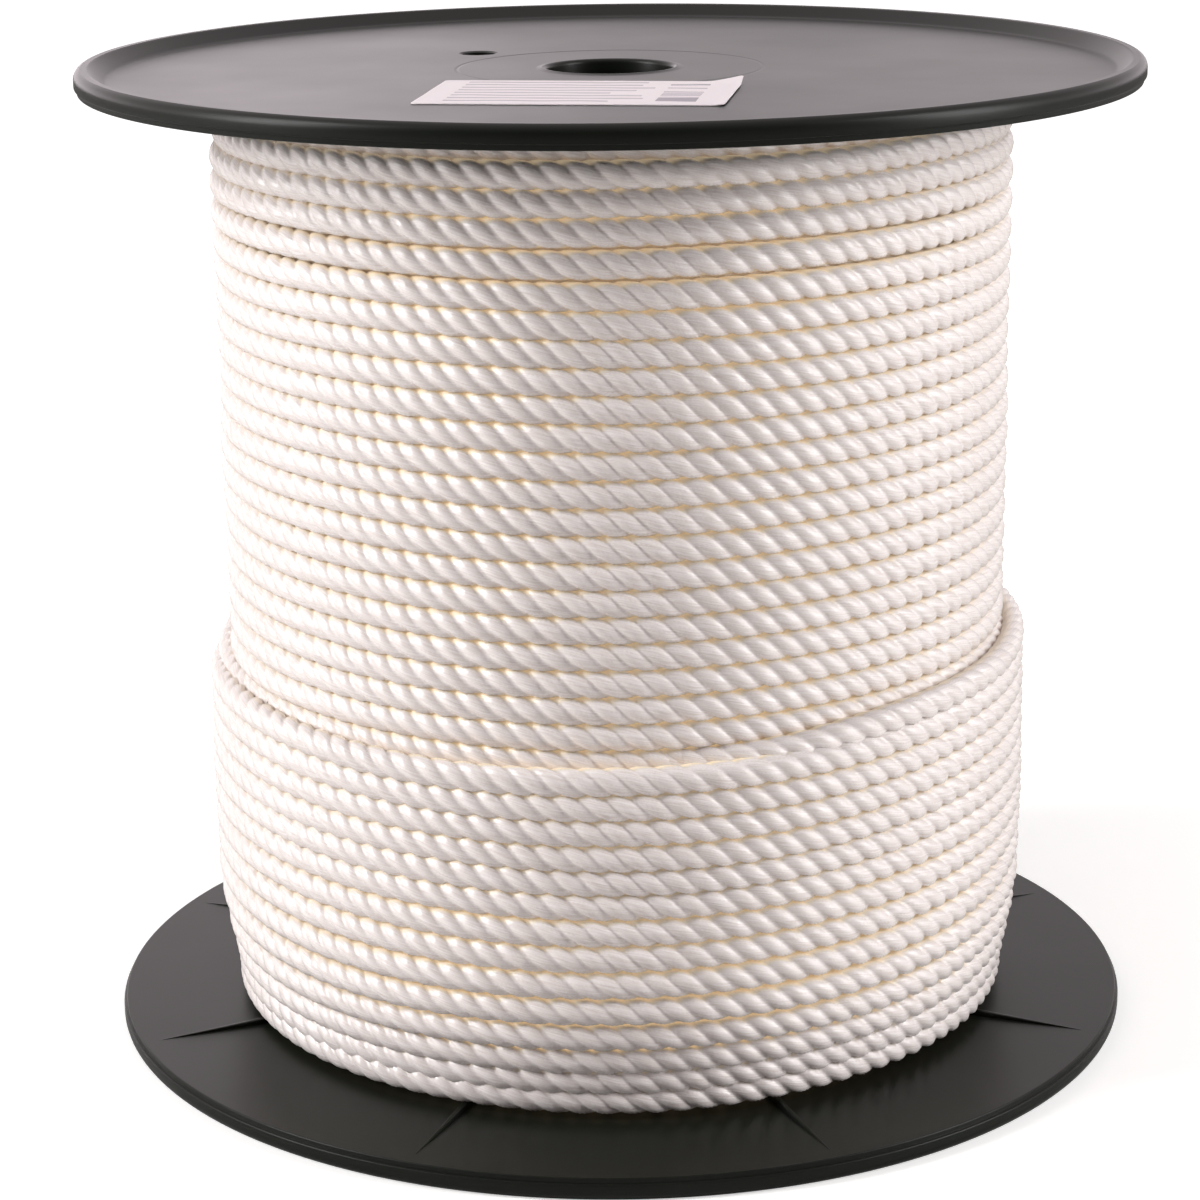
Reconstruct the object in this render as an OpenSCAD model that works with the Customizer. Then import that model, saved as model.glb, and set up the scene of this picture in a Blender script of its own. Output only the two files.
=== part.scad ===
// Rope reel: two moulded flanges snapped onto a barrel, wound with three-strand rope.
// The reel stands on its lower flange. Millimetres, +Z up along the reel's axis,
// origin on the axis in the plane that the lower rim rests on.

/* [Reel] */
// Diameter of both flanges
flange_d = 267; // [255:1:320]
// Clear width between the two flange discs
traverse = 239; // [160:1:300]

/* [Rim] */
// Height of the rim, from its resting land to the disc's inner face
rim_h = 5.8; // [5.5:0.1:12]
// Width of the rounded bead that crowns the rim
bead_w = 5; // [4:0.1:7]
// Width of the flat land on the bead's crest
land_w = 1.6; // [0.8:0.1:2.4]
// Radial run of the slope from the bead down to the recessed disc
slope_run = 2.8; // [2:0.1:8]
// Radius of the hollow corner at the foot of the slope
foot_r = 3; // [1:0.1:6]
// Depth of the step in the rim's edge
step_in = 0.7; // [0.3:0.1:1.2]
// Height of the narrow strip above the step
strip_h = 1.4; // [1:0.1:2.4]
// Size of the broken edges
edge_break = 0.35; // [0.1:0.05:0.5]

/* [Disc] */
// Thickness of the disc
disc_t = 2.6; // [2:0.1:4]
// Number of radial fins on the inner face, and of ribs round the hub
fin_count = 8; // [4:1:12]
// Height of a fin over the disc
fin_h = 1.4; // [0.6:0.1:3]
// Width of a fin
fin_w = 1.6; // [1:0.1:3]
// Width that is left at a fin's pointed end
fin_tip_w = 0.4; // [0.2:0.1:0.8]
// Distance from the flange's edge to the pointed end of a fin
fin_margin = 5.5; // [3:0.1:12]
// Length of a fin's tapered end
fin_taper = 28; // [10:1:40]
// Diameter of the hole for the rope's inner end
start_d = 9; // [6:0.1:10]
// Distance of that hole from the axis
start_r = 49.5; // [47:0.1:60]
// Direction of that hole on the upper flange
start_dir = 134; // [120:1:150]

/* [Hub] */
// Diameter of the arbor bore
bore_d = 31.75; // [16:0.05:40]
// Wall of the arbor collar
collar_t = 2.6; // [1.6:0.1:4]
// Length of the arbor collar, from the disc's outer face
collar_l = 34; // [20:1:60]
// Width of the rounded lip round the mouth of the bore
lip_w = 2.2; // [1.4:0.1:3]
// Height of the lip over the disc's outer face
lip_h = 0.7; // [0.3:0.05:1]
// Thickness of the ribs between the collar and the spigot
rib_t = 1.8; // [1:0.1:3]
// Height of those ribs over the disc
rib_h = 12; // [6:1:15]

/* [Spigot and snap hooks] */
// Play between the spigot and the barrel, each side
spigot_fit = 0.2; // [0.1:0.05:0.5]
// Wall of the spigot
spigot_t = 2.4; // [1.6:0.1:3.5]
// Height of the spigot over the disc
spigot_h = 16; // [12:1:30]
// Number of snap hooks on each spigot
hook_count = 4; // [2:1:4]
// Width of a hook
hook_w = 10; // [6:0.5:14]
// How far a hook stands out of the spigot
hook_out = 1.8; // [1:0.1:2]
// Height of a hook
hook_h = 4; // [3:0.1:6]
// Height of the hook's thick catching end
hook_nose = 0.8; // [0.5:0.1:1.2]
// Distance from the disc to the hook's catching face
hook_up = 7; // [4:0.1:9]
// Width of the slots that free each hook's tongue
slot_w = 1.2; // [0.8:0.1:2]
// Play round a hook in its window
window_fit = 0.3; // [0.2:0.05:0.6]

/* [Barrel] */
// Outer diameter of the barrel
barrel_d = 80; // [72:1:90]
// Wall of the barrel
barrel_t = 3; // [2.5:0.1:4]

/* [Rope] */
// Diameter of the rope
rope_d = 6.35; // [5.5:0.05:6.6]
// Space between neighbouring turns of a layer
turn_gap = 0.18; // [0.05:0.01:0.5]
// Space between a turn and what it lies on
seat_gap = 0.03; // [0.01:0.01:0.1]
// Thickness of the web that joins a layer's turns into one solid
web_t = 2; // [1:0.1:2.5]
// Number of layers that run from flange to flange
full_layers = 11; // [8:1:11]
// Number of closed turns in the part layer on top
outer_turns = 12; // [4:1:20]
// Number of turns that the part layer starts above the lower flange
outer_skip = 1; // [0:1:4]
// Directions between which the last turn climbs round the back
last_turn = [-40, 195]; // [-60:1:240]

/* [Label] */
// Width of the paper label
label_w = 73; // [60:1:90]
// Depth of the paper label
label_d = 45; // [30:1:60]
// Thickness of the paper
label_t = 0.2; // [0.1:0.05:0.4]
// Place of the label's middle on the upper flange
label_at = [-7, -53]; // [-90:1:90]
// How far the label is turned
label_turn = -8; // [-20:1:20]

/* [Hidden] */
$fn = 96;

flange_r = flange_d / 2;
total_h = traverse + 2 * rim_h;
recess = rim_h - disc_t;         // depth of the outer face below the bead's crest

// the bead's round section, sunk a little so that its crest is a flat land
bead_r = bead_w / 2;
bead_x = flange_r - bead_r;
bead_z = sqrt(bead_r * bead_r - land_w * land_w / 4);

// the slope leaves the disc at slope_x and meets the bead as a tangent
slope_x = flange_r - bead_w - slope_run;
to_bead = [bead_x - slope_x, bead_z - recess];
slope_a = atan2(to_bead.y, to_bead.x) - asin(bead_r / norm(to_bead));
slope_l = sqrt(to_bead * to_bead - bead_r * bead_r);
slope_dir = [cos(slope_a), sin(slope_a)];
foot_l = foot_r * tan(-slope_a / 2);   // from the corner to where its round begins

bore_r = bore_d / 2;
lip_r = lip_w / 2;
lip_z = recess + lip_r - lip_h;
spigot_r = barrel_d / 2 - barrel_t - spigot_fit;
fuse = 0.5;                      // how far a rib or fin reaches into what it grows from
fin_tip_h = 0.1;                 // what is left of a fin's height at its pointed end
pitch_a = 360 / fin_count;

// the winding: turns lie in the valleys of the layer beneath
rope_pitch = rope_d + turn_gap;
layer_rise = sqrt(pow(rope_d + seat_gap, 2) - pow(rope_pitch / 2, 2));
wound_h = traverse - 2 * fin_h;
turns = floor((wound_h - rope_d) / rope_pitch) + 1;
wound_slack = wound_h - rope_d - (turns - 1) * rope_pitch;
first_turn_z = rim_h + fin_h + wound_slack / 2 + rope_d / 2;

function layer_r(i) = barrel_d / 2 + seat_gap + rope_d / 2 + (i - 1) * layer_rise;
function in_valley(i) = (i + 1) % 2 / 2;   // 0 for the odd layers, half a pitch for the even
function turn_z(i, n) = first_turn_z + (n + in_valley(i)) * rope_pitch;

// ---- flange ----

// Section of the disc and its rim, x away from the axis, y up from the resting plane
module disc_section() {
    slope_end = [slope_x, recess] + slope_l * slope_dir;
    edge_x = flange_r - step_in;
    step_y = rim_h - strip_h;
    polygon([
        [bore_r + lip_r, recess], [slope_x, recess], slope_end, [bead_x, bead_z],
        [flange_r, bead_z], [flange_r, step_y - edge_break], [flange_r - edge_break, step_y],
        [edge_x, step_y], [edge_x, rim_h - edge_break], [edge_x - edge_break, rim_h],
        [bore_r + lip_r, rim_h]
    ]);
    intersection() {
        translate([bead_x, bead_z]) circle(r = bead_r);
        translate([bead_x - bead_w, 0]) square([2 * bead_w, bead_w]);
    }
    slope_foot();
}

// Hollow round between the disc's outer face and the slope
module slope_foot() {
    corner = [slope_x, recess];
    centre = corner - [foot_l, foot_r];
    difference() {
        polygon([corner, corner - [foot_l, 0], centre, corner + foot_l * slope_dir]);
        translate(centre) circle(r = foot_r);
    }
}

// Section of the arbor collar with its rounded lip
module collar_section() {
    translate([bore_r, lip_z]) square([collar_t, recess + collar_l - lip_z]);
    translate([bore_r + lip_r, lip_z]) circle(r = lip_r);
}

// Section of the spigot that holds the barrel, with a lead-in at its end
module spigot_section() {
    lead = spigot_t / 3;
    top = rim_h + spigot_h;
    polygon([
        [spigot_r - spigot_t, rim_h - fuse], [spigot_r, rim_h - fuse], [spigot_r, top - lead],
        [spigot_r - lead, top], [spigot_r - spigot_t, top]
    ]);
}

// One fin, low and pointed towards the rim, along +X
module fin() {
    from = barrel_d / 2 + 2 * spigot_fit;
    to = flange_r - fin_margin;
    knee = to - fin_taper;
    intersection() {
        translate([0, fin_w / 2, rim_h]) rotate([90, 0, 0]) linear_extrude(fin_w)
            polygon([[from, -fuse], [to, -fuse], [to, fin_tip_h], [knee, fin_h], [from, fin_h]]);
        translate([0, 0, rim_h - fuse]) linear_extrude(fuse + fin_h)
            polygon([
                [from, -fin_w / 2], [knee, -fin_w / 2], [to, -fin_tip_w / 2],
                [to, fin_tip_w / 2], [knee, fin_w / 2], [from, fin_w / 2]
            ]);
    }
}

// One rib between the collar and the spigot, along +X
module hub_rib() {
    from = bore_r + collar_t - fuse;
    translate([from, -rib_t / 2, rim_h - fuse])
        cube([spigot_r - spigot_t + fuse - from, rib_t, fuse + rib_h]);
}

// One snap hook on the outside of the spigot, along +X
module hook() {
    root = spigot_r - spigot_t / 2;
    foot = rim_h + hook_up;
    translate([0, hook_w / 2, 0]) rotate([90, 0, 0]) linear_extrude(hook_w)
        polygon([
            [root, foot], [spigot_r + hook_out, foot], [spigot_r + hook_out, foot + hook_nose],
            [spigot_r, foot + hook_h], [root, foot + hook_h]
        ]);
}

// The two slots beside a hook that let its tongue bend
module hook_slots() {
    for (side = [-1, 1])
        translate([spigot_r - 2 * spigot_t, side * (hook_w + slot_w) / 2 - slot_w / 2, rim_h + fuse])
            cube([3 * spigot_t, slot_w, spigot_h]);
}

module start_hole() {
    rotate(-start_dir) translate([start_r, 0, 0]) {
        translate([0, 0, recess - 1]) cylinder(d = start_d, h = disc_t + 2);
        translate([0, 0, recess - edge_break])
            cylinder(d1 = start_d + 4 * edge_break, d2 = start_d, h = 2 * edge_break);
    }
}

// The one moulding that serves as both flanges, outer face down
module flange() {
    difference() {
        union() {
            rotate_extrude() {
                disc_section();
                collar_section();
            }
            difference() {
                rotate_extrude() spigot_section();
                for (i = [0:hook_count - 1]) rotate(i * 360 / hook_count) hook_slots();
            }
            for (i = [0:hook_count - 1]) rotate(i * 360 / hook_count) hook();
            for (i = [0:fin_count - 1]) rotate((i + 0.5) * pitch_a) {
                fin();
                hub_rib();
            }
        }
        start_hole();
    }
}

module lower_flange() {
    color("#2b2d2a") flange();
}

module upper_flange() {
    color("#2b2d2a") translate([0, 0, total_h]) rotate([180, 0, 0]) flange();
}

// ---- barrel ----

// Windows at one end of the barrel, one for each hook
module hook_windows() {
    for (i = [0:hook_count - 1]) rotate(i * 360 / hook_count)
        translate([spigot_r - spigot_t, -hook_w / 2 - window_fit, hook_up - window_fit])
            cube([barrel_t + 3 * spigot_t, hook_w + 2 * window_fit, hook_h + 2 * window_fit]);
}

module barrel() {
    color("#3a3c39") translate([0, 0, rim_h]) difference() {
        rotate_extrude() translate([barrel_d / 2 - barrel_t, 0]) square([barrel_t, traverse]);
        hook_windows();
        translate([0, 0, traverse]) mirror([0, 0, 1]) hook_windows();
    }
}

// ---- rope ----

// Section of neighbouring turns at [radius, height] points, joined by a web
module turns_section(centres) {
    count = len(centres);
    half = [web_t / 2, 0];
    polygon(concat([for (c = centres) c + half],
                   [for (k = [1:count]) centres[count - k] - half]));
    for (c = centres) translate(c) circle(d = rope_d);
}

// One layer from flange to flange; the even layers have a turn less
module rope_layer(i) {
    last = turns - 1 - (i + 1) % 2;
    color("#f1ece6") rotate_extrude()
        turns_section([for (n = [0:last]) [layer_r(i), turn_z(i, n)]]);
}

// The part layer on top
module rope_part_layer() {
    i = full_layers + 1;
    last = outer_skip + outer_turns - 1;
    color("#f1ece6") {
        rotate_extrude()
            turns_section([for (n = [outer_skip:last]) [layer_r(i), turn_z(i, n)]]);
        climbing_turn([layer_r(i), turn_z(i, last)]);
    }
}

// The rope's last turn, which lies on the turn below it and only round the back
module climbing_turn(below) {
    rotate(last_turn[0]) rotate_extrude(angle = last_turn[1] - last_turn[0]) {
        translate(below + [0, rope_pitch]) circle(d = rope_d);
        translate(below + [-web_t / 4, rope_d / 4]) square([web_t / 2, rope_pitch - rope_d / 4]);
    }
}

// ---- label ----

module label() {
    color("#efe9e4") translate([label_at.x, label_at.y, total_h - recess]) rotate(label_turn)
        translate([-label_w / 2, -label_d / 2, 0]) cube([label_w, label_d, label_t]);
}

upper_flange();
lower_flange();
barrel();
label();
for (i = [1:full_layers]) rope_layer(i);
rope_part_layer();
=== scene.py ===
"""Looks of a rope reel: two moulded flanges, a barrel, a paper label and the wound rope.

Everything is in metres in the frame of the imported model: the reel's axis is Z, its front is -Y,
and the origin lies on the axis in the plane that the lower rim stands on. Sizes are dataclass
fields in millimetres, named after what a maker would measure, and places come from the frame.
"""

import logging
import math
from dataclasses import dataclass, field
from enum import Enum

import bmesh
import bpy
import numpy as np
from mathutils import Matrix, Vector


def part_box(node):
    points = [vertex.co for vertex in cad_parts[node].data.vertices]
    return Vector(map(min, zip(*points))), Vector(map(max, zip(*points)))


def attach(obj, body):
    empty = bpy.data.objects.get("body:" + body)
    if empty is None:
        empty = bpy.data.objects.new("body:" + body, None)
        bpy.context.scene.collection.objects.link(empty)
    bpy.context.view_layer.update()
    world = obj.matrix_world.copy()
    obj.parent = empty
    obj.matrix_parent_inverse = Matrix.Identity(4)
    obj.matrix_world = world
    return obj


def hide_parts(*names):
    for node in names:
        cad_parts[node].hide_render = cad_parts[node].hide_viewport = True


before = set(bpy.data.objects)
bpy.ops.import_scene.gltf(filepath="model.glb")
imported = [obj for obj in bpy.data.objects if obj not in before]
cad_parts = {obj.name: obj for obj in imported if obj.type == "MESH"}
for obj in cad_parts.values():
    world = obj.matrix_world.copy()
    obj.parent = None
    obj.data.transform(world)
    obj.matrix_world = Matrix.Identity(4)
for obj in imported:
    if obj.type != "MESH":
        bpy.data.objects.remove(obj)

MM = 0.001
TURN = 2 * math.pi
BAKE_MAP = "OFBake"
# the two ends of a range
Span = tuple[float, float]
log = logging.getLogger("rope_reel")


# ---- small helpers ----


def srgb(code: str) -> tuple[float, float, float, float]:
    """Turns an sRGB hex colour into linear light.

    Args:
        code: six hex digits, such as "F4ECEA".

    Returns:
        Linear red, green and blue, and an alpha of 1.
    """
    parts = [int(code[i:i + 2], 16) / 255 for i in (0, 2, 4)]
    linear = [c / 12.92 if c <= 0.04045 else ((c + 0.055) / 1.055) ** 2.4 for c in parts]
    return (*linear, 1.0)


def add_node(tree: bpy.types.NodeTree, kind: str, props: dict | None = None,
             inputs: dict | None = None) -> bpy.types.Node:
    """Adds one node with its settings and links.

    Args:
        tree: the shader or geometry tree that gets the node.
        kind: the node's type, such as "ShaderNodeTexNoise".
        props: attributes of the node by name.
        inputs: for each input, by name or index, a value or the socket that feeds it.

    Returns:
        The new node.
    """
    node = tree.nodes.new(kind)
    for key, value in (props or {}).items():
        setattr(node, key, value)
    for key, value in (inputs or {}).items():
        if isinstance(value, bpy.types.NodeSocket):
            tree.links.new(value, node.inputs[key])
        else:
            node.inputs[key].default_value = value
    return node


def maths(tree: bpy.types.NodeTree, operation: str, *values: object) -> bpy.types.NodeSocket:
    """Adds one Math node.

    Args:
        tree: the tree that gets the node.
        operation: what it works out, such as "MULTIPLY".
        values: its inputs in order, each a number or a socket.

    Returns:
        The node's result.
    """
    node = add_node(tree, "ShaderNodeMath", {"operation": operation}, dict(enumerate(values)))
    return node.outputs[0]


def ranged(tree: bpy.types.NodeTree, value: bpy.types.NodeSocket, source: Span,
           result: Span) -> bpy.types.NodeSocket:
    """Adds one Map Range node, which holds its result outside the range.

    Args:
        tree: the tree that gets the node.
        value: what is read.
        source: the two values that the range runs between.
        result: what comes out at the first and at the second of them.

    Returns:
        The mapped value.
    """
    return add_node(tree, "ShaderNodeMapRange",
                    inputs={0: value, 1: source[0], 2: source[1], 3: result[0],
                            4: result[1]}).outputs[0]


def mixed(tree: bpy.types.NodeTree, share: bpy.types.NodeSocket, first: object,
          second: object) -> bpy.types.NodeSocket:
    """Adds one Mix node for colours.

    Args:
        tree: the tree that gets the node.
        share: how much of the second colour shows, from 0 to 1.
        first: a colour, or the socket of one.
        second: a colour, or the socket of one.

    Returns:
        The mixed colour.
    """
    return add_node(tree, "ShaderNodeMix", {"data_type": "RGBA"},
                    {0: share, 6: first, 7: second}).outputs[2]


def noise(tree: bpy.types.NodeTree, where: bpy.types.NodeSocket, scale: float, detail: float,
          roughness: float = 0.5) -> bpy.types.NodeSocket:
    """Adds one Noise Texture.

    Args:
        tree: the material's tree.
        where: the coordinates that it reads.
        scale: how many blotches it has in one unit of them.
        detail: how many finer layers lie on the blotches.
        roughness: how strong the finer layers are.

    Returns:
        Its value, from 0 to 1.
    """
    return add_node(tree, "ShaderNodeTexNoise",
                    inputs={"Vector": where, "Scale": scale, "Detail": detail,
                            "Roughness": roughness}).outputs[0]


def bumped(tree: bpy.types.NodeTree, height: bpy.types.NodeSocket, depth_mm: float,
           normal: bpy.types.NodeSocket | None = None) -> bpy.types.NodeSocket:
    """Adds one Bump node.

    Args:
        tree: the material's tree.
        height: the relief, from 0 to 1.
        depth_mm: how deep the relief is, in millimetres.
        normal: the normal that it starts from, or None for the surface's own.

    Returns:
        The new normal.
    """
    start = {} if normal is None else {"Normal": normal}
    return add_node(tree, "ShaderNodeBump",
                    inputs={"Strength": 1.0, "Distance": depth_mm * MM, "Height": height,
                            **start}).outputs[0]


def from_axis(tree: bpy.types.NodeTree,
              where: bpy.types.NodeSocket) -> tuple[bpy.types.NodeSocket, ...]:
    """Splits a place into its parts and measures how far it lies from the reel's axis.

    Args:
        tree: a material's tree or a geometry tree.
        where: the place.

    Returns:
        Its x, y and z, and its distance from the axis.
    """
    x, y, z = add_node(tree, "ShaderNodeSeparateXYZ", inputs={0: where}).outputs
    flat = add_node(tree, "ShaderNodeCombineXYZ", inputs={0: x, 1: y}).outputs[0]
    radius = add_node(tree, "ShaderNodeVectorMath", {"operation": "LENGTH"},
                      {0: flat}).outputs[1]
    return x, y, z, radius


def ease(x: float) -> float:
    """Goes smoothly from 0 at x = 0 to 1 at x = 1, and stays flat outside."""
    x = min(max(x, 0.0), 1.0)
    return x * x * (3 - 2 * x)


def through(points: tuple[tuple[float, float], ...], x: float) -> float:
    """Reads a smooth curve through a few points, level at both ends.

    Args:
        points: pairs of position and value, in rising order of position.
        x: where to read it.

    Returns:
        The value at x.
    """
    xs = [p[0] for p in points]
    ys = [p[1] for p in points]
    if x <= xs[0]:
        return ys[0]
    if x >= xs[-1]:
        return ys[-1]
    i = max(k for k in range(len(xs) - 1) if xs[k] <= x)

    def slope(k: int) -> float:
        """Gives the curve's slope at point k."""
        if k in (0, len(xs) - 1):
            return 0.0
        return (ys[k + 1] - ys[k - 1]) / (xs[k + 1] - xs[k - 1])

    h = xs[i + 1] - xs[i]
    t = (x - xs[i]) / h
    return ((2 * t ** 3 - 3 * t ** 2 + 1) * ys[i] + (t ** 3 - 2 * t ** 2 + t) * h * slope(i)
            + (3 * t ** 2 - 2 * t ** 3) * ys[i + 1] + (t ** 3 - t ** 2) * h * slope(i + 1))


def new_object(name: str, mesh: bpy.types.Mesh) -> bpy.types.Object:
    """Links a mesh to the scene as a new object at the origin.

    Args:
        name: the object's name.
        mesh: its mesh, in metres in the reel's frame.

    Returns:
        The new object.
    """
    piece = bpy.data.objects.new(name, mesh)
    bpy.context.scene.collection.objects.link(piece)
    return piece


def mesh_of(name: str, verts: list, edges: list, faces: list) -> bpy.types.Mesh:
    """Builds a mesh from plain lists, with no loose ends in its tables.

    Args:
        name: the mesh's name.
        verts: corner points in metres.
        edges: pairs of corners, for a mesh that is only a line.
        faces: lists of corners, in order round each face.

    Returns:
        The new mesh.
    """
    mesh = bpy.data.meshes.new(name)
    mesh.from_pydata(verts, edges, faces)
    mesh.validate()
    mesh.update()
    return mesh


def baked(piece: bpy.types.Object) -> bpy.types.Mesh:
    """Turns an object's evaluated result into its plain mesh and drops its modifiers.

    Args:
        piece: an object whose modifiers are set.

    Returns:
        The object's new mesh.
    """
    bpy.context.view_layer.update()
    graph = bpy.context.evaluated_depsgraph_get()
    mesh = bpy.data.meshes.new_from_object(piece.evaluated_get(graph), depsgraph=graph)
    mesh.name = piece.name
    piece.modifiers.clear()
    piece.data = mesh
    return mesh


def run_nodes(piece: bpy.types.Object, tree: bpy.types.NodeTree, values: dict) -> bpy.types.Mesh:
    """Runs a geometry tree on an object once and keeps the plain mesh.

    Args:
        piece: the object whose mesh is the tree's geometry.
        tree: the geometry tree.
        values: the tree's inputs by their names.

    Returns:
        The resulting mesh, which the object now has.
    """
    modifier = piece.modifiers.new("make", "NODES")
    modifier.node_group = tree
    for item in tree.interface.items_tree:
        if item.item_type == "SOCKET" and item.in_out == "INPUT" and item.name in values:
            modifier[item.identifier] = values[item.name]
    return baked(piece)


def geometry_tree(name: str, sockets: dict[str, tuple[str, object]]) -> bpy.types.NodeTree:
    """Starts a geometry tree with a geometry input and output and named inputs.

    Args:
        name: the tree's name.
        sockets: for each input's name, its type and its default value.

    Returns:
        The new tree, with its group input and group output nodes in place.
    """
    tree = bpy.data.node_groups.new(name, "GeometryNodeTree")
    tree.interface.new_socket("Geometry", in_out="INPUT", socket_type="NodeSocketGeometry")
    tree.interface.new_socket("Geometry", in_out="OUTPUT", socket_type="NodeSocketGeometry")
    for label, (kind, default) in sockets.items():
        socket = tree.interface.new_socket(label, in_out="INPUT", socket_type=kind)
        if default is not None:
            socket.default_value = default
    add_node(tree, "NodeGroupInput")
    add_node(tree, "NodeGroupOutput")
    return tree


def finish_tree(tree: bpy.types.NodeTree, geometry: bpy.types.NodeSocket) -> None:
    """Ends a geometry tree: real geometry, its material, and the group output.

    Args:
        tree: a tree from geometry_tree with a Material input.
        geometry: what the tree has made so far.
    """
    given = tree.nodes["Group Input"].outputs
    real = add_node(tree, "GeometryNodeRealizeInstances", inputs={0: geometry})
    dressed = add_node(tree, "GeometryNodeSetMaterial",
                       inputs={"Geometry": real.outputs[0], "Material": given["Material"]})
    tree.links.new(dressed.outputs[0], tree.nodes["Group Output"].inputs[0])


def place(piece: bpy.types.Object, slot: str, *nodes: str) -> None:
    """Hands a finished piece to the frame and reports it.

    Args:
        piece: the piece, at the origin.
        slot: the name of its material slot, which is only written to the log.
        nodes: the frame's nodes that it stands for.
    """
    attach(piece, "root")
    if nodes:
        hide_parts(*nodes)
    log.info("%s: %d faces, slot %s", piece.name, len(piece.data.polygons), slot)


# ---- finishes ----


@dataclass(frozen=True)
class Finish:
    """A surface finish that becomes one material."""

    name: str

    def start(self, **constants: object) -> tuple[bpy.types.Material, bpy.types.Node]:
        """Makes the material with its one Principled shader.

        Args:
            constants: values of the shader's own inputs, with _ for a space in their names.

        Returns:
            The material and its shader node.
        """
        material = bpy.data.materials.new(self.name)
        material.use_nodes = True
        shader = material.node_tree.nodes["Principled BSDF"]
        for key, value in constants.items():
            shader.inputs[key.replace("_", " ")].default_value = value
        return material, shader

    def material(self) -> bpy.types.Material:
        """Builds the material."""
        raise NotImplementedError


@dataclass(frozen=True)
class MouldedPlastic(Finish):
    """Impact polystyrene from a satin mould: nearly black, with broad soft reflections."""

    colour: str = "10130E"
    worn: str = "1B1D18"
    roughness: float = 0.36
    specular: float = 0.14
    grain_mm: float = 0.9
    grain_depth_mm: float = 0.0015
    # broad clouds of wear: how many in a metre, and the noise at which they start and are full
    cloud_scale: float = 28.0
    cloud_from: Span = (0.35, 0.75)
    cloud_worn: float = 0.25
    dull_from: Span = (0.3, 0.8)
    dull_by: Span = (-0.01, 0.03)
    # small pale scuffs
    scuff_scale: float = 420.0
    scuff_from: Span = (0.72, 0.8)
    scuff_worn: float = 0.5
    # marks of the melt's flow: how many round the disc, and how fast they change outwards
    flow_scale: float = 7.0
    flow_outwards: float = 6.0
    flow_depth_mm: float = 0.0002

    def material(self) -> bpy.types.Material:
        """Builds the plastic: mould grain, faint flow marks, clouds of wear and pale scuffs.

        Returns:
            The material.
        """
        material, shader = self.start(Roughness=self.roughness, IOR=1.55,
                                      Specular_IOR_Level=self.specular)
        tree = material.node_tree
        where = add_node(tree, "ShaderNodeTexCoord").outputs["Object"]
        cloudy = noise(tree, where, self.cloud_scale, 4.0)
        grain = noise(tree, where, 1 / (self.grain_mm * MM), 2.0)
        specks = noise(tree, where, self.scuff_scale, 1.0)
        scuffed = ranged(tree, specks, self.scuff_from, (0.0, self.scuff_worn))
        clouded = ranged(tree, cloudy, self.cloud_from, (0.0, self.cloud_worn))
        worn = maths(tree, "MAXIMUM", scuffed, clouded)
        colour = mixed(tree, worn, srgb(self.colour), srgb(self.worn))
        rough = ranged(tree, cloudy, self.dull_from,
                       (self.roughness + self.dull_by[0], self.roughness + self.dull_by[1]))
        fine = bumped(tree, grain, self.grain_depth_mm)
        relief = bumped(tree, self.flow(tree, where), self.flow_depth_mm, fine)
        tree.links.new(colour, shader.inputs["Base Color"])
        tree.links.new(rough, shader.inputs["Roughness"])
        tree.links.new(relief, shader.inputs["Normal"])
        return material

    def flow(self, tree: bpy.types.NodeTree,
             where: bpy.types.NodeSocket) -> bpy.types.NodeSocket:
        """Adds the faint marks that the melt leaves as it runs out from the hub.

        Args:
            tree: the material's tree.
            where: the object coordinates.

        Returns:
            The height of the marks, from 0 to 1.
        """
        x, y, _, radius = from_axis(tree, where)
        angle = maths(tree, "ARCTAN2", y, x)
        polar = add_node(tree, "ShaderNodeCombineXYZ", inputs={
            0: maths(tree, "COSINE", angle), 1: maths(tree, "SINE", angle),
            2: maths(tree, "MULTIPLY", radius, self.flow_outwards)}).outputs[0]
        return noise(tree, polar, self.flow_scale, 2.0)


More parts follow.
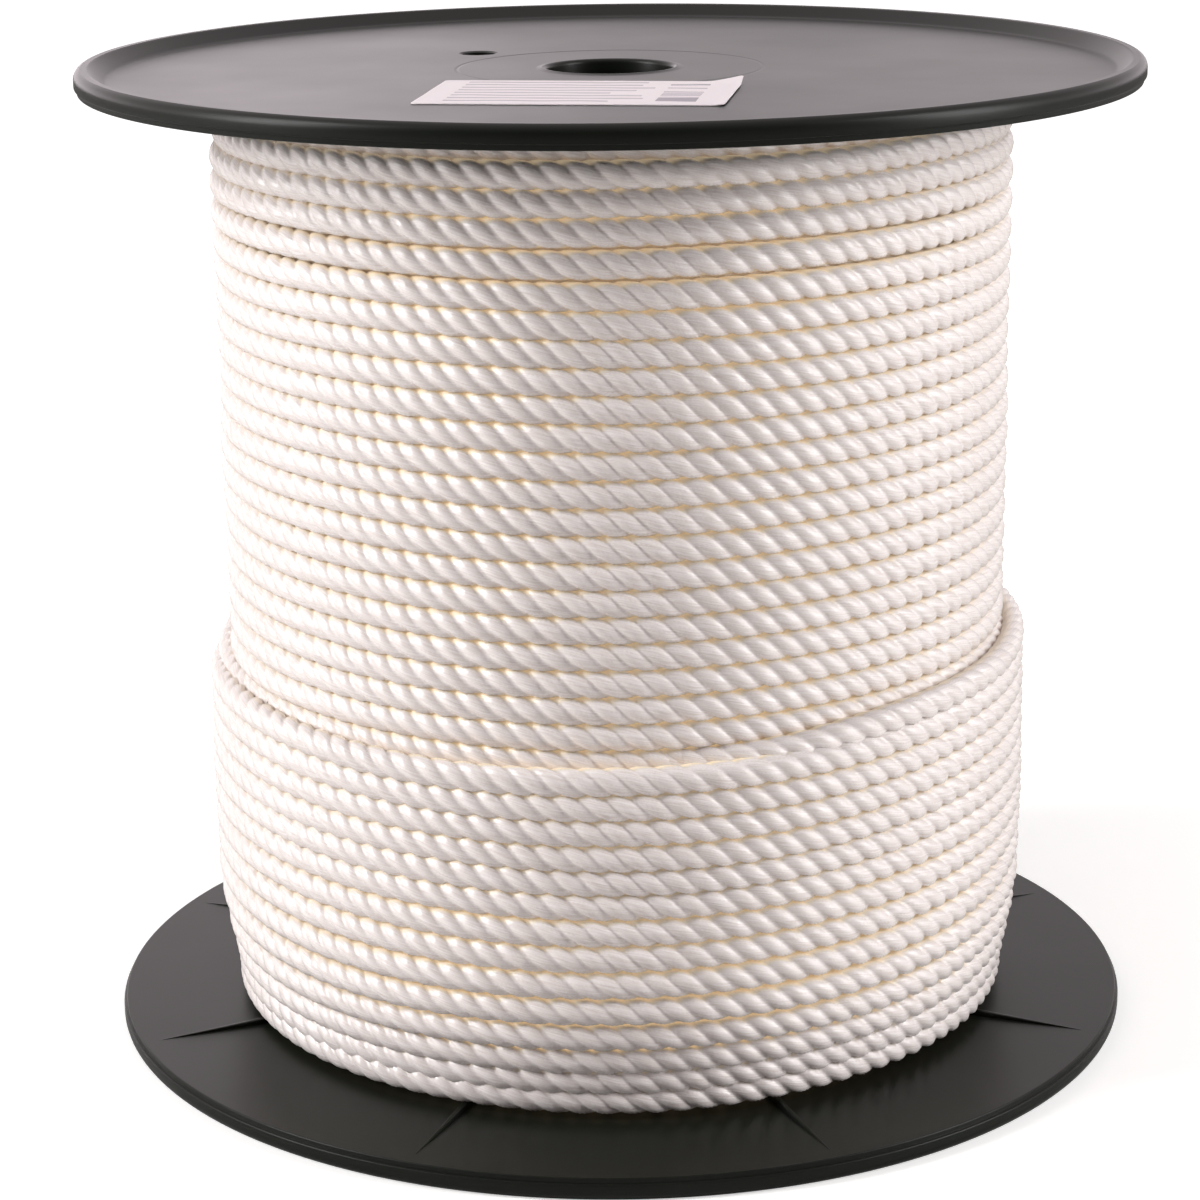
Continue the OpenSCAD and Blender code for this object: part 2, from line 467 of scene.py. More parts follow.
@dataclass(frozen=True)
class NylonRope(Finish):
    """Bright nylon filament, twisted, with a painted sheen along each strand and a painted warm
    shade and glow where little light gets in.
    """

    # painted sheen: bright and shaded are a lit and a shaded copy of the nylon's colour, mixed
    # along the filament lines
    bright: str = "F6F0EE"
    shaded: str = "DED2CC"
    # painted shade: warm and deep are the colours of the shade that falls between the turns
    warm: str = "E6DBC8"
    deep: str = "E3D2B8"
    # painted glow between the turns: an emission, though the rope is no lamp
    glow: str = "DCC5A2"
    glow_strength: float = 0.32
    roughness: float = 0.22
    sheen: float = 0.15
    sheen_roughness: float = 0.4
    filament_mm: float = 0.3
    filament_depth_mm: float = 0.12
    filament_from: Span = (0.3, 0.7)
    # painted shade between the turns: the openness at which the warm and the deep tint start and
    # are full
    warm_shade_from: Span = (0.53, 0.33)
    deep_shade_from: Span = (0.4, 0.14)
    # how far to one side, 0 in front and 1 at the side, the painted shade and glow fade where the
    # side lamps light between the turns, and what is left of them
    fade_from: Span = (0.35, 0.95)
    side_shade: float = 0.25

    def material(self) -> bpy.types.Material:
        """Builds the nylon: fine lines along the filaments, as bump and as painted sheen, and a
        painted warm shade and glow between the turns.

        Returns:
            The material.
        """
        material, shader = self.start(Roughness=self.roughness, IOR=1.53,
                                      Sheen_Weight=self.sheen,
                                      Sheen_Roughness=self.sheen_roughness)
        tree = material.node_tree
        fibre = add_node(tree, "ShaderNodeAttribute",
                         {"attribute_name": "fibre"}).outputs["Vector"]
        opened = add_node(tree, "ShaderNodeAttribute",
                          {"attribute_name": "openness"}).outputs["Fac"]
        lines = noise(tree, fibre, 1 / (self.filament_mm * MM), 3.0, 0.6)
        # painted sheen along the real filament lines: a lit and a shaded copy of the nylon's
        # colour
        filament_sheen = mixed(tree, ranged(tree, lines, self.filament_from, (1.0, 0.0)),
                     srgb(self.bright), srgb(self.shaded))
        shade = self.shade(tree)
        # painted shade between the turns: warm first, and deep where the rope is least open
        warm_shade_share = maths(tree, "MULTIPLY", shade, ranged(tree, opened, self.warm_shade_from, (0.0, 1.0)))
        depth = maths(tree, "MULTIPLY", shade, ranged(tree, opened, self.deep_shade_from, (0.0, 1.0)))
        warm_shaded = mixed(tree, warm_shade_share, filament_sheen, srgb(self.warm))
        colour = mixed(tree, depth, warm_shaded, srgb(self.deep))
        # painted glow: a warm emission between the turns stands in for the light that comes
        # through the nylon itself
        shader.inputs["Emission Color"].default_value = srgb(self.glow)
        glow = maths(tree, "MULTIPLY", depth, self.glow_strength)
        tree.links.new(colour, shader.inputs["Base Color"])
        tree.links.new(glow, shader.inputs["Emission Strength"])
        tree.links.new(bumped(tree, lines, self.filament_depth_mm), shader.inputs["Normal"])
        return material

    def shade(self, tree: bpy.types.NodeTree) -> bpy.types.NodeSocket:
        """Tells how strong the painted shade and glow are: full in front and behind, weaker at the
        two sides, which the side lamps light.

        Args:
            tree: the material's tree.

        Returns:
            1 in front and behind, and the share that is left at the sides.
        """
        where = add_node(tree, "ShaderNodeTexCoord").outputs["Object"]
        x, _, _, radius = from_axis(tree, where)
        sideways = maths(tree, "ABSOLUTE", maths(tree, "DIVIDE", x, radius))
        return ranged(tree, sideways, self.fade_from, (1.0, self.side_shade))


@dataclass(frozen=True)
class StickerPaper(Finish):
    """Uncoated white sticker paper with faint plain stripes in grey."""

    colour: str = "FCF2F4"
    ink: str = "8D8590"
    roughness: float = 0.6
    mottle_scale: float = 900.0
    mottle: float = 0.12
    fibre_depth_mm: float = 0.02
    # the stripes, as shares of the sheet: across it from the left, up it from its lower edge
    rows: float = 9.0
    row_filled: float = 0.42
    row_start: float = 0.09
    row_end: float = 0.6
    row_ragged: float = 0.14
    rows_up: Span = (0.1, 0.94)
    row_ink: float = 0.55
    # the block of bars
    bars: float = 37.0
    bars_across: Span = (0.77, 0.9)
    bars_up: Span = (0.12, 0.86)
    bar_ink: float = 0.85

    def material(self) -> bpy.types.Material:
        """Builds the paper: fibre mottling, fine bump and plain stripes where print would be.

        Returns:
            The material.
        """
        material, shader = self.start(Roughness=self.roughness, IOR=1.5)
        tree = material.node_tree
        where = add_node(tree, "ShaderNodeTexCoord").outputs["Object"]
        mottle = noise(tree, where, self.mottle_scale, 3.0)
        sheet = add_node(tree, "ShaderNodeAttribute",
                         {"attribute_name": "sheet"}).outputs["Vector"]
        paper = mixed(tree, maths(tree, "MULTIPLY", mottle, self.mottle), srgb(self.colour),
                      srgb(self.ink))
        colour = mixed(tree, self.stripes(tree, sheet), paper, srgb(self.ink))
        tree.links.new(colour, shader.inputs["Base Color"])
        tree.links.new(bumped(tree, mottle, self.fibre_depth_mm), shader.inputs["Normal"])
        return material

    def stripes(self, tree: bpy.types.NodeTree,
                sheet: bpy.types.NodeSocket) -> bpy.types.NodeSocket:
        """Adds plain stripes: level ones where lines of print would be, and a block of bars.

        Args:
            tree: the material's tree.
            sheet: the place on the sheet, from 0 to 1 across and up.

        Returns:
            How much ink there is, from 0 to 1.
        """
        across, up, _ = add_node(tree, "ShaderNodeSeparateXYZ", inputs={0: sheet}).outputs
        rows = maths(tree, "MULTIPLY", up, self.rows)
        inked = maths(tree, "LESS_THAN", maths(tree, "FRACT", rows), self.row_filled)
        ragged = maths(tree, "MULTIPLY", self.chance(tree, rows), self.row_ragged)
        end = maths(tree, "ADD", ragged, self.row_end)
        lines = maths(tree, "MULTIPLY", inked, self.between(tree, across, self.row_start, end))
        lines = maths(tree, "MULTIPLY", lines, self.between(tree, up, *self.rows_up))
        barred = maths(tree, "GREATER_THAN",
                       self.chance(tree, maths(tree, "MULTIPLY", up, self.bars)), 0.5)
        bars = maths(tree, "MULTIPLY", barred, self.between(tree, across, *self.bars_across))
        bars = maths(tree, "MULTIPLY", bars, self.between(tree, up, *self.bars_up))
        return maths(tree, "ADD", maths(tree, "MULTIPLY", lines, self.row_ink),
                     maths(tree, "MULTIPLY", bars, self.bar_ink))

    def chance(self, tree: bpy.types.NodeTree,
               value: bpy.types.NodeSocket) -> bpy.types.NodeSocket:
        """Gives each whole step of a value its own random number, from 0 to 1."""
        return add_node(tree, "ShaderNodeTexWhiteNoise", {"noise_dimensions": "1D"},
                        {"W": maths(tree, "FLOOR", value)}).outputs["Value"]

    def between(self, tree: bpy.types.NodeTree, value: bpy.types.NodeSocket, low: object,
                high: object) -> bpy.types.NodeSocket:
        """Tells whether a value lies between two others, as 0 or 1."""
        return maths(tree, "MULTIPLY", maths(tree, "GREATER_THAN", value, low),
                     maths(tree, "LESS_THAN", value, high))


# ---- the wound rope ----


class Detail(Enum):
    """How finely a stretch of rope is meshed: stations in one lay, points on one strand.

    With none of either it has no strands and is plain round rope.
    """

    FULL = (16, 8)
    COVERED = (6, 4)
    BURIED = (0, 0)


@dataclass
class Rope:
    """Three-strand rope with a right-hand lay, swept along any path by one geometry tree."""

    diameter: float = 6.35
    lay: float = 18.3
    strand_r: float = 2.08
    press: float = 1.2
    pressed_half: float = 3.36
    press_round: float = 0.4
    filament_follow: float = 0.8
    # how fast the filament lines change along the rope, as a share of across it
    filament_run: float = 0.05
    # how much openness a point loses on its turn's upper side, which puts more painted shade there
    upper_shade: float = 0.15
    # buried layers are plain round rope: its sides, and millimetres between two stations
    plain_sides: int = 8
    plain_step: float = 11.0
    # the bake map: how many faces lie on a square as wide as a row is high, and which shares of
    # a row the rope's side and its caps take
    map_faces: float = 1500.0
    map_margin: float = 0.04
    map_side: float = 0.9
    cap_at: tuple[float, float] = (0.004, 0.97)
    cap_r: tuple[float, float] = (0.002, 0.01)
    finish: NylonRope = field(default_factory=lambda: NylonRope("twisted_nylon_filament"))

    def __post_init__(self) -> None:
        """Builds the material and the sweeping tree that all stretches share."""
        self.material = self.finish.material()
        self.tree = self.sweep_tree()

    def sweep_tree(self) -> bpy.types.NodeTree:
        """Builds the tree that sweeps the rope's section along a line and twists it.

        Returns:
            The geometry tree. It stores where each point lies on the rope: around, along,
            fibre (a place that hardly changes along a filament) and openness (1 on the side
            away from the reel's axis, low between the turns, lowest on their upper sides).
            Openness is the mask of the nylon's painted shade and glow.
        """
        tree = geometry_tree("twisted_rope", {
            "Strand Radius": ("NodeSocketFloat", 0.0019),
            "Strand Offset": ("NodeSocketFloat", 0.00125),
            "Press": ("NodeSocketFloat", 1.0),
            "Pressed Half": ("NodeSocketFloat", 0.0033),
            "Exposed": ("NodeSocketFloat", 0.0),
            "Points": ("NodeSocketInt", 24),
            "Lay": ("NodeSocketFloat", 0.02),
            "Start": ("NodeSocketFloat", 0.0),
            "Follow": ("NodeSocketFloat", 0.8),
            "Material": ("NodeSocketMaterial", None),
        })
        given = tree.nodes["Group Input"].outputs
        curve = add_node(tree, "GeometryNodeMeshToCurve", inputs={0: given["Geometry"]})
        upright = add_node(tree, "GeometryNodeSetCurveNormal", {"mode": "Z_UP"},
                           {0: curve.outputs[0]})
        length = add_node(tree, "GeometryNodeSplineParameter").outputs["Length"]
        along = maths(tree, "ADD", length, given["Start"])
        lays = maths(tree, "DIVIDE", along, given["Lay"])
        measured = self.store(tree, upright.outputs[0], "along", along)
        position = add_node(tree, "GeometryNodeInputPosition").outputs[0]
        _, _, height, reach = from_axis(tree, position)
        levelled = self.store(tree, measured, "centre_height", height)
        centred = self.store(tree, levelled, "centre_reach", reach)
        twisted = add_node(tree, "GeometryNodeSetCurveTilt",
                           inputs={"Curve": centred, "Tilt": maths(tree, "MULTIPLY", lays, TURN)})
        swept = add_node(tree, "GeometryNodeCurveToMesh",
                         inputs={"Curve": twisted.outputs[0], "Profile Curve": self.section(tree),
                                 "Fill Caps": True})
        pressed = self.pressed(tree, swept.outputs[0], height)
        smooth = add_node(tree, "GeometryNodeSetShadeSmooth", inputs={0: pressed})
        fibred = self.store_fibre(tree, smooth.outputs[0])
        centre = self.stored(tree, "centre_reach")
        over = maths(tree, "SUBTRACT", height, self.stored(tree, "centre_height"))
        # openness, the mask of the painted shade and glow: lower on the upper side, raised by
        # Exposed
        above = maths(tree, "MULTIPLY", over, -self.upper_shade)
        size = maths(tree, "ADD", given["Strand Radius"], given["Strand Offset"])
        out = maths(tree, "ADD", maths(tree, "SUBTRACT", reach, centre), above)
        opened = maths(tree, "ADD", maths(tree, "DIVIDE", out, size), given["Exposed"])
        faced = self.store(tree, fibred, "openness", opened)
        finish_tree(tree, faced)
        return tree

    def pressed(self, tree: bpy.types.NodeTree, geometry: bpy.types.NodeSocket,
                height: bpy.types.NodeSocket) -> bpy.types.NodeSocket:
        """Spreads the soft rope up and down until it is flat against the turns beside it.

        Args:
            tree: the geometry tree.
            geometry: the swept rope.
            height: each point's height.

        Returns:
            The geometry, squeezed.
        """
        given = tree.nodes["Group Input"].outputs
        off = maths(tree, "SUBTRACT", height, self.stored(tree, "centre_height"))
        spread = maths(tree, "MULTIPLY", maths(tree, "ABSOLUTE", off), given["Press"])
        held = maths(tree, "SMOOTH_MIN", spread, given["Pressed Half"], self.press_round * MM)
        moved = maths(tree, "SUBTRACT", maths(tree, "MULTIPLY", held, maths(tree, "SIGN", off)),
                      off)
        shift = add_node(tree, "ShaderNodeCombineXYZ", inputs={2: moved})
        return add_node(tree, "GeometryNodeSetPosition",
                        inputs={"Geometry": geometry, "Offset": shift.outputs[0]}).outputs[0]

    def store(self, tree: bpy.types.NodeTree, geometry: bpy.types.NodeSocket, name: str,
              value: bpy.types.NodeSocket, kind: str = "FLOAT") -> bpy.types.NodeSocket:
        """Stores a value on every point under a name.

        Args:
            tree: the geometry tree.
            geometry: the geometry so far.
            name: the attribute's name.
            value: what is stored.
            kind: the attribute's type.

        Returns:
            The geometry with the attribute.
        """
        return add_node(tree, "GeometryNodeStoreNamedAttribute",
                        {"data_type": kind, "domain": "POINT"},
                        {"Geometry": geometry, "Name": name, "Value": value}).outputs[0]

    def stored(self, tree: bpy.types.NodeTree, name: str) -> bpy.types.NodeSocket:
        """Reads a number that an earlier step stored on every point."""
        return add_node(tree, "GeometryNodeInputNamedAttribute", {"data_type": "FLOAT"},
                        {"Name": name}).outputs[0]

    def section(self, tree: bpy.types.NodeTree) -> bpy.types.NodeSocket:
        """Makes the rope's section: the outline of three strands laid against each other.

        Args:
            tree: the geometry tree.

        Returns:
            The closed profile curve, with each point's place round it stored as around.
        """
        given = tree.nodes["Group Input"].outputs
        ring = add_node(tree, "GeometryNodeCurvePrimitiveCircle",
                        inputs={"Resolution": given["Points"]})
        share = maths(tree, "DIVIDE", add_node(tree, "GeometryNodeInputIndex").outputs[0],
                      given["Points"])
        strands = maths(tree, "MULTIPLY", share, 3.0)
        in_strand = maths(tree, "SUBTRACT", maths(tree, "FRACT", strands), 0.5)
        turned = maths(tree, "MULTIPLY", in_strand, TURN / 3)
        offset = given["Strand Offset"]
        side = maths(tree, "MULTIPLY", offset, maths(tree, "SINE", turned))
        bulge = maths(tree, "SQRT", maths(
            tree, "SUBTRACT", maths(tree, "POWER", given["Strand Radius"], 2.0),
            maths(tree, "MULTIPLY", side, side)))
        radius = maths(tree, "ADD", maths(tree, "MULTIPLY", offset, maths(tree, "COSINE", turned)),
                       bulge)
        angle = maths(tree, "MULTIPLY", share, TURN)
        point = add_node(tree, "ShaderNodeCombineXYZ", inputs={
            0: maths(tree, "MULTIPLY", radius, maths(tree, "COSINE", angle)),
            1: maths(tree, "MULTIPLY", radius, maths(tree, "SINE", angle))})
        shaped = add_node(tree, "GeometryNodeSetPosition",
                          inputs={"Geometry": ring.outputs[0], "Position": point.outputs[0]})
        return self.store(tree, shaped.outputs[0], "around", share)

    def store_fibre(self, tree: bpy.types.NodeTree,
                    geometry: bpy.types.NodeSocket) -> bpy.types.NodeSocket:
        """Stores a place that changes across the filaments and hardly along them.

        The filaments of such a rope run nearly parallel to the rope itself, because each
        strand is twisted against the lay.

        Args:
            tree: the geometry tree.
            geometry: the swept rope.

        Returns:
            The geometry with the attribute fibre, in metres.
        """
        given = tree.nodes["Group Input"].outputs
        around, along = self.stored(tree, "around"), self.stored(tree, "along")
        followed = maths(tree, "MULTIPLY", maths(tree, "DIVIDE", along, given["Lay"]),
                         given["Follow"])
        angle = maths(tree, "MULTIPLY", maths(tree, "ADD", around, followed), TURN)
        size = maths(tree, "ADD", given["Strand Radius"], given["Strand Offset"])
        place_on = add_node(tree, "ShaderNodeCombineXYZ", inputs={
            0: maths(tree, "MULTIPLY", size, maths(tree, "COSINE", angle)),
            1: maths(tree, "MULTIPLY", size, maths(tree, "SINE", angle)),
            2: maths(tree, "MULTIPLY", along, self.filament_run)})
        return self.store(tree, geometry, "fibre", place_on.outputs[0], "FLOAT_VECTOR")

    def step(self, detail: Detail) -> float:
        """Gives the distance between two stations of the path, in millimetres."""
        stations = detail.value[0]
        return self.lay / stations if stations else self.plain_step

    def sweep(self, name: str, path: list[Vector], detail: Detail, start: float = 0.0,
              exposed: float = 0.0) -> bpy.types.Object:
        """Makes one stretch of rope.

        Args:
            name: the piece's name.
            path: the middle of the rope, in metres, at even steps.
            detail: how finely it is meshed.
            start: how much rope, in metres, lies before this stretch, so that lays meet.
            exposed: how much more light gets at it where no turn lies above it, from 0 to 1.

        Returns:
            The piece, a plain mesh.
        """
        strand_points = detail.value[1]
        laid = strand_points > 0
        offset = self.diameter / 2 - self.strand_r if laid else 0.0
        points = 3 * strand_points if laid else self.plain_sides
        line = mesh_of(name, path, [(i, i + 1) for i in range(len(path) - 1)], [])
        piece = new_object(name, line)
        mesh = run_nodes(piece, self.tree, {
            "Strand Radius": (self.strand_r if laid else self.diameter / 2) * MM,
            "Strand Offset": offset * MM,
            "Press": self.press if laid else 1.0,
            "Pressed Half": (self.pressed_half if laid else self.diameter) * MM,
            "Exposed": exposed,
            "Points": points,
            "Lay": self.lay * MM,
            "Start": start,
            "Follow": self.filament_follow,
            "Material": self.material,
        })
        self.unwrap(mesh, points, len(path))
        return piece

    def unwrap(self, mesh: bpy.types.Mesh, points: int, rings: int) -> None:
        """Lays the rope out flat for baking, in as many rows as fill a square map.

        Args:
            mesh: the swept rope, ring by ring.
            points: how many points a ring has.
            rings: how many rings there are.
        """
        rows = max(1, round(math.sqrt(rings * points / self.map_faces)))
        per_row = math.ceil((rings - 1) / rows)
        corners = np.empty(len(mesh.loops), dtype=np.int64)
        mesh.loops.foreach_get("vertex_index", corners)
        starts = np.empty(len(mesh.polygons), dtype=np.int64)
        counts = np.empty(len(mesh.polygons), dtype=np.int64)
        mesh.polygons.foreach_get("loop_start", starts)
        mesh.polygons.foreach_get("loop_total", counts)
        face = np.repeat(np.arange(len(starts)), counts)
        ring = (corners // points).astype(float)
        around = (corners % points).astype(float)
        first = np.minimum.reduceat(ring, starts)[face]
        spread = (np.maximum.reduceat(around, starts) - np.minimum.reduceat(around, starts))[face]
        wraps = (spread == points - 1) & (around == 0)
        around[wraps] = points
        row = np.minimum(first // per_row, rows - 1)
        u = (ring - row * per_row) / per_row
        v = (row + self.map_margin + self.map_side * around / points) / rows
        ends = counts[face] > 4
        turned = TURN * around / points
        u[ends] = self.cap_at[0] + self.cap_r[0] * np.cos(turned[ends])
        v[ends] = (row[ends] + self.cap_at[1] + self.cap_r[1] * np.sin(turned[ends])) / rows
        layer = mesh.uv_layers.new(name=BAKE_MAP)
        layer.data.foreach_set("uv", np.stack([u, v], axis=1).ravel().astype(np.float32))


@dataclass
class Winding:
    """The rope on the reel: full layers from flange to flange and a part layer on top."""

    rope: Rope
    barrel_r: float
    lower_face: float
    upper_face: float
    layers: int = 11
    turns: int = 36
    fin_h: float = 1.4
    rise: float = 5.48
    barrel_gap: float = 0.03
    fin_gap: float = 0.1
    # the outermost full layer at the front: its top turn's height, the steps down from it where
    # the winder left the turns open, and the height and number of the last turn that shows
    top_turn: float = 240.2
    open_gaps: tuple[float, ...] = (5.5, 6.4, 6.7, 7.3, 7.3, 6.7)
    last_seen_turn: float = 95.8
    seen_turns: int = 23
    # the heights of the part layer's turns at the front, from the bottom
    outer_turns: tuple[float, ...] = (10.6, 15.8, 21.4, 27.9, 35.0, 42.0, 48.8, 55.4, 62.1, 68.2,
                                      74.3, 80.7, 86.9, 93.1)
    # a full layer's turn climbs this much in a radian, and steps to the next past this direction
    level_slope: float = 0.29
    level_reach: float = 110.0
    # how far the turns sag in front, and the room to a flange at which they don't and fully do
    bow: float = 0.7
    outer_bow: float = 2.6
    sag_room: Span = (6.0, 46.0)
    # how far the turns near the lower flange are drawn in, for the last layers up to the part
    # layer, and the heights between which that fades
    tucks: tuple[float, ...] = (1.0, 2.0, 3.3, 4.6, 4.6)
    tuck_room: Span = (9.0, 42.0)
    # the top turn is drawn in under the upper flange, over so many turns
    top_tuck: float = 2.8
    top_tuck_turns: float = 1.6
    # unevenness: size, waves round the reel, and how much it shifts with each turn and layer
    waves_up: tuple[tuple[float, float, float, float], ...] = (
        (0.14, 3, 0.45, 1), (0.10, 5, -0.8, 2))
    waves_out: tuple[tuple[float, float, float, float], ...] = (
        (0.16, 2, 0.7, 3), (0.10, 7, 1.3, 0))
    # the part of a turn over which the rope climbs onto the part layer
    climb: float = 0.13
    # how the last turn dives, by degrees past its front: offsets of height and radius
    dive_z: tuple[tuple[float, float], ...] = ((232, 0.0), (264, -2.4), (284, -4.7), (300, -5.7))
    dive_r: tuple[tuple[float, float], ...] = ((232, 0.0), (264, -1.0), (284, -3.2), (300, -5.0))
    # the topmost run, by degrees from the front: height, and offset of radius
    end_z: tuple[tuple[float, float], ...] = (
        (3, 95.5), (10, 95.6), (24, 97.4), (31, 99.1), (40, 100.5), (62, 101.9), (95, 103.0),
        (150, 104.2), (190, 104.8), (204, 103.4), (217, 100.2))
    end_r: tuple[tuple[float, float], ...] = (
        (3, -7.2), (10, -5.2), (24, -2.2), (31, -0.7), (40, 0.0), (190, 0.0), (204, -1.2),
        (217, -4.2))
    # how much more light gets at the last turn and the topmost run, which nothing lies above
    end_exposed: float = 0.45
    # turns in one piece, so that no piece gets too many faces
    piece_turns: int = 8
    outer_piece_turns: float = 7.0

    def layer_r(self, number: int) -> float:
        """Gives the radius of the middle of the rope in a layer, in millimetres."""
        first = self.barrel_r + self.rope.diameter / 2 + self.barrel_gap
        return first + (number - 1) * self.rise

    def tuck(self, number: int, z: float) -> float:
        """Tells how far the turns near the lower flange are drawn in, in millimetres.

        Args:
            number: the layer's number.
            z: the turn's height.

        Returns:
            The distance, 0 for the inner layers and away from the flange.
        """
        first = self.layers + 2 - len(self.tucks)
        deepest = self.tucks[number - first] if number >= first else 0.0
        low, high = self.tuck_room
        return deepest * (1 - ease((z - low) / (high - low)))

    def wander(self, number: int, turn: float, angle: float) -> tuple[float, float]:
        """Gives the small unevenness of a hand-guided winding.

        Args:
            number: the layer's number.
            turn: how far along the rope, in turns.
            angle: the direction round the reel, in radians.

        Returns:
            Offsets of height and radius in millimetres.
        """
        up, out = (sum(size * math.sin(waves * angle + by_turn * turn + by_layer * number)
                       for size, waves, by_turn, by_layer in kind)
                   for kind in (self.waves_up, self.waves_out))
        return up, out

    def point(self, angle: float, radius: float, z: float) -> Vector:
        """Turns a direction from the front, a radius and a height into a place in metres."""
        return Vector((radius * math.sin(angle), -radius * math.cos(angle), z)) * MM

    def levels(self, number: int) -> list[float]:
        """Lists the heights of a full layer's turns at the front, from the top down.

        Args:
            number: the layer's number.

        Returns:
            One height to each turn, in millimetres.
        """
        low = self.lower_face + self.fin_h + self.rope.diameter / 2 + self.fin_gap
        high = self.upper_face - self.fin_h - self.rope.diameter / 2 - self.fin_gap
        if number < self.layers:
            count = self.turns - (number + 1) % 2
            shift = 0.5 * ((number + 1) % 2) * (high - low) / (self.turns - 1)
            return list(np.linspace(high - shift, low + shift, count))
        heights = [self.top_turn]
        for gap in self.open_gaps:
            heights.append(heights[-1] - gap)
        seen = self.seen_turns - len(heights) + 1
        heights += list(np.linspace(heights[-1], self.last_seen_turn, seen))[1:]
        hidden = self.turns - self.seen_turns + 1
        return heights + list(np.linspace(heights[-1], low, hidden))[1:]

    def level_height(self, heights: list[float], turn: int, angle: float) -> float:
        """Gives the height of a turn that lies level in front and steps to the next behind.

        Args:
            heights: the turns' heights at the front, in the order of the rope.
            turn: which turn.
            angle: the direction from the front, from -pi to pi.

        Returns:
            The height in millimetres.
        """
        edge = math.radians(self.level_reach)
        step_width = TURN - 2 * edge
        if abs(angle) <= edge:
            return heights[turn] + self.level_slope * angle
        before, after = (turn, turn + 1) if angle > 0 else (turn - 1, turn)
        share = ((angle if angle > 0 else angle + TURN) - edge) / step_width
        start = heights[max(before, 0)] + self.level_slope * edge
        end = heights[min(after, len(heights) - 1)] - self.level_slope * edge
        return start + (end - start) * ease(share)

    def sag(self, angle: float, height: float) -> float:
        """Tells how far a turn lies above its lowest point, which faces the front.

        Args:
            angle: the direction round the reel, in radians.
            height: the turn's height in millimetres; near a flange nothing can sag.

        Returns:
            A share from 0 in front to 1 at the sides and behind.
        """
        room = min(height - self.lower_face, self.upper_face - height)
        turned = min(abs(math.remainder(angle, TURN)), math.pi / 2)
        none, full = self.sag_room
        return math.sin(turned) ** 2 * ease((room - none) / (full - none))

    def layer_path(self, number: int, first: int, last: int, step: float) -> list[Vector]:
        """Follows the rope through some turns of a full layer.

        Args:
            number: the layer's number.
            first: the first turn, counted along the rope from 0.
            last: the turn after the last one.
            step: the distance between two stations, in millimetres.

        Returns:
            The middle of the rope, in metres.
        """
        heights = self.levels(number)
        if number % 2 == 0:
            heights = heights[::-1]
        radius = self.layer_r(number)
        count = round((last - first) * TURN * radius / step)
        path = []
        for i in range(count + 1):
            along = first + (last - first) * i / count
            turn = min(int(along), last - 1)
            angle = (along - turn) * TURN - math.pi
            z = self.level_height(heights, turn, angle)
            z += self.bow * self.sag(angle, z)
            up, out = self.wander(number, along, angle)
            r = radius - self.tuck(number, z) + out
            if number == self.layers:
                r -= self.top_tuck * ease(self.top_tuck_turns - along)
            path.append(self.point(angle, r, z + up))
        return path

    def outer_place(self, along: float) -> tuple[float, float, float]:
        """Follows the part layer, a helix that climbs in behind and dives under at its end.

        Args:
            along: how far along the rope, in turns from the back of the first one.

        Returns:
            Direction in radians, radius and height in millimetres.
        """
        heights = self.outer_turns
        angle = (along - 0.5) * TURN
        spot = min(max(along - 0.5, 0.0), len(heights) - 1)
        below = min(int(spot), len(heights) - 2)
        z = heights[below] + (heights[below + 1] - heights[below]) * (spot - below)
        beyond = math.degrees(angle) - 360 * (len(heights) - 1)
        if beyond > 0:
            z += (heights[-1] - heights[-2]) * beyond / 360
        z += self.outer_bow * self.sag(angle, z) + through(self.dive_z, beyond)
        r = self.layer_r(self.layers + 1) - self.tuck(self.layers + 1, z)
        r -= self.rise * (1 - ease(along / self.climb))
        return angle, r + through(self.dive_r, beyond), z

    def outer_path(self, first: float, last: float, step: float) -> list[Vector]:
        """Follows the rope through part of the helix of the part layer.

        Args:
            first: where to start, in turns from the back of the first turn.
            last: where to end.
            step: the distance between two stations, in millimetres.

        Returns:
            The middle of the rope, in metres.
        """
        count = round((last - first) * TURN * self.layer_r(self.layers + 1) / step)
        path = []
        for i in range(count + 1):
            along = first + (last - first) * i / count
            angle, r, z = self.outer_place(along)
            up, out = self.wander(self.layers + 1, along, angle)
            path.append(self.point(angle, r + out, z + up))
        return path

    def free_end_path(self, step: float) -> list[Vector]:
        """Follows the topmost run, which comes out of the full layer and is tucked in behind.

        Args:
            step: the distance between two stations, in millimetres.

        Returns:
            The middle of the rope, in metres.
        """
        first, last = self.end_z[0][0], self.end_z[-1][0]
        count = round(math.radians(last - first) * self.layer_r(self.layers + 1) / step)
        path = []
        for i in range(count + 1):
            degrees = first + (last - first) * i / count
            angle = math.radians(degrees)
            up, out = self.wander(self.layers + 1, len(self.outer_turns) + degrees / 360, angle)
            r = self.layer_r(self.layers + 1) + through(self.end_r, degrees)
            path.append(self.point(angle, r + out, through(self.end_z, degrees) + up))
        return path

    def build_layer(self, number: int, spans: tuple[tuple[int, int, Detail], ...]) -> None:
        """Builds a full layer, in as many pieces as it has spans.

        Args:
            number: the layer's number.
            spans: first turn, turn after the last, and detail of each piece.
        """
        used = 0.0
        for part, (first, last, detail) in enumerate(spans):
            path = self.layer_path(number, first, last, self.rope.step(detail))
            tail = f"_{part + 1}" if len(spans) > 1 else ""
            piece = self.rope.sweep(f"wound_rope_layer_{number}{tail}", path, detail, used)
            used += sum((b - a).length for a, b in zip(path, path[1:]))
            place(piece, "rope", *([f"rope_layer_{number}"] if part == 0 else []))

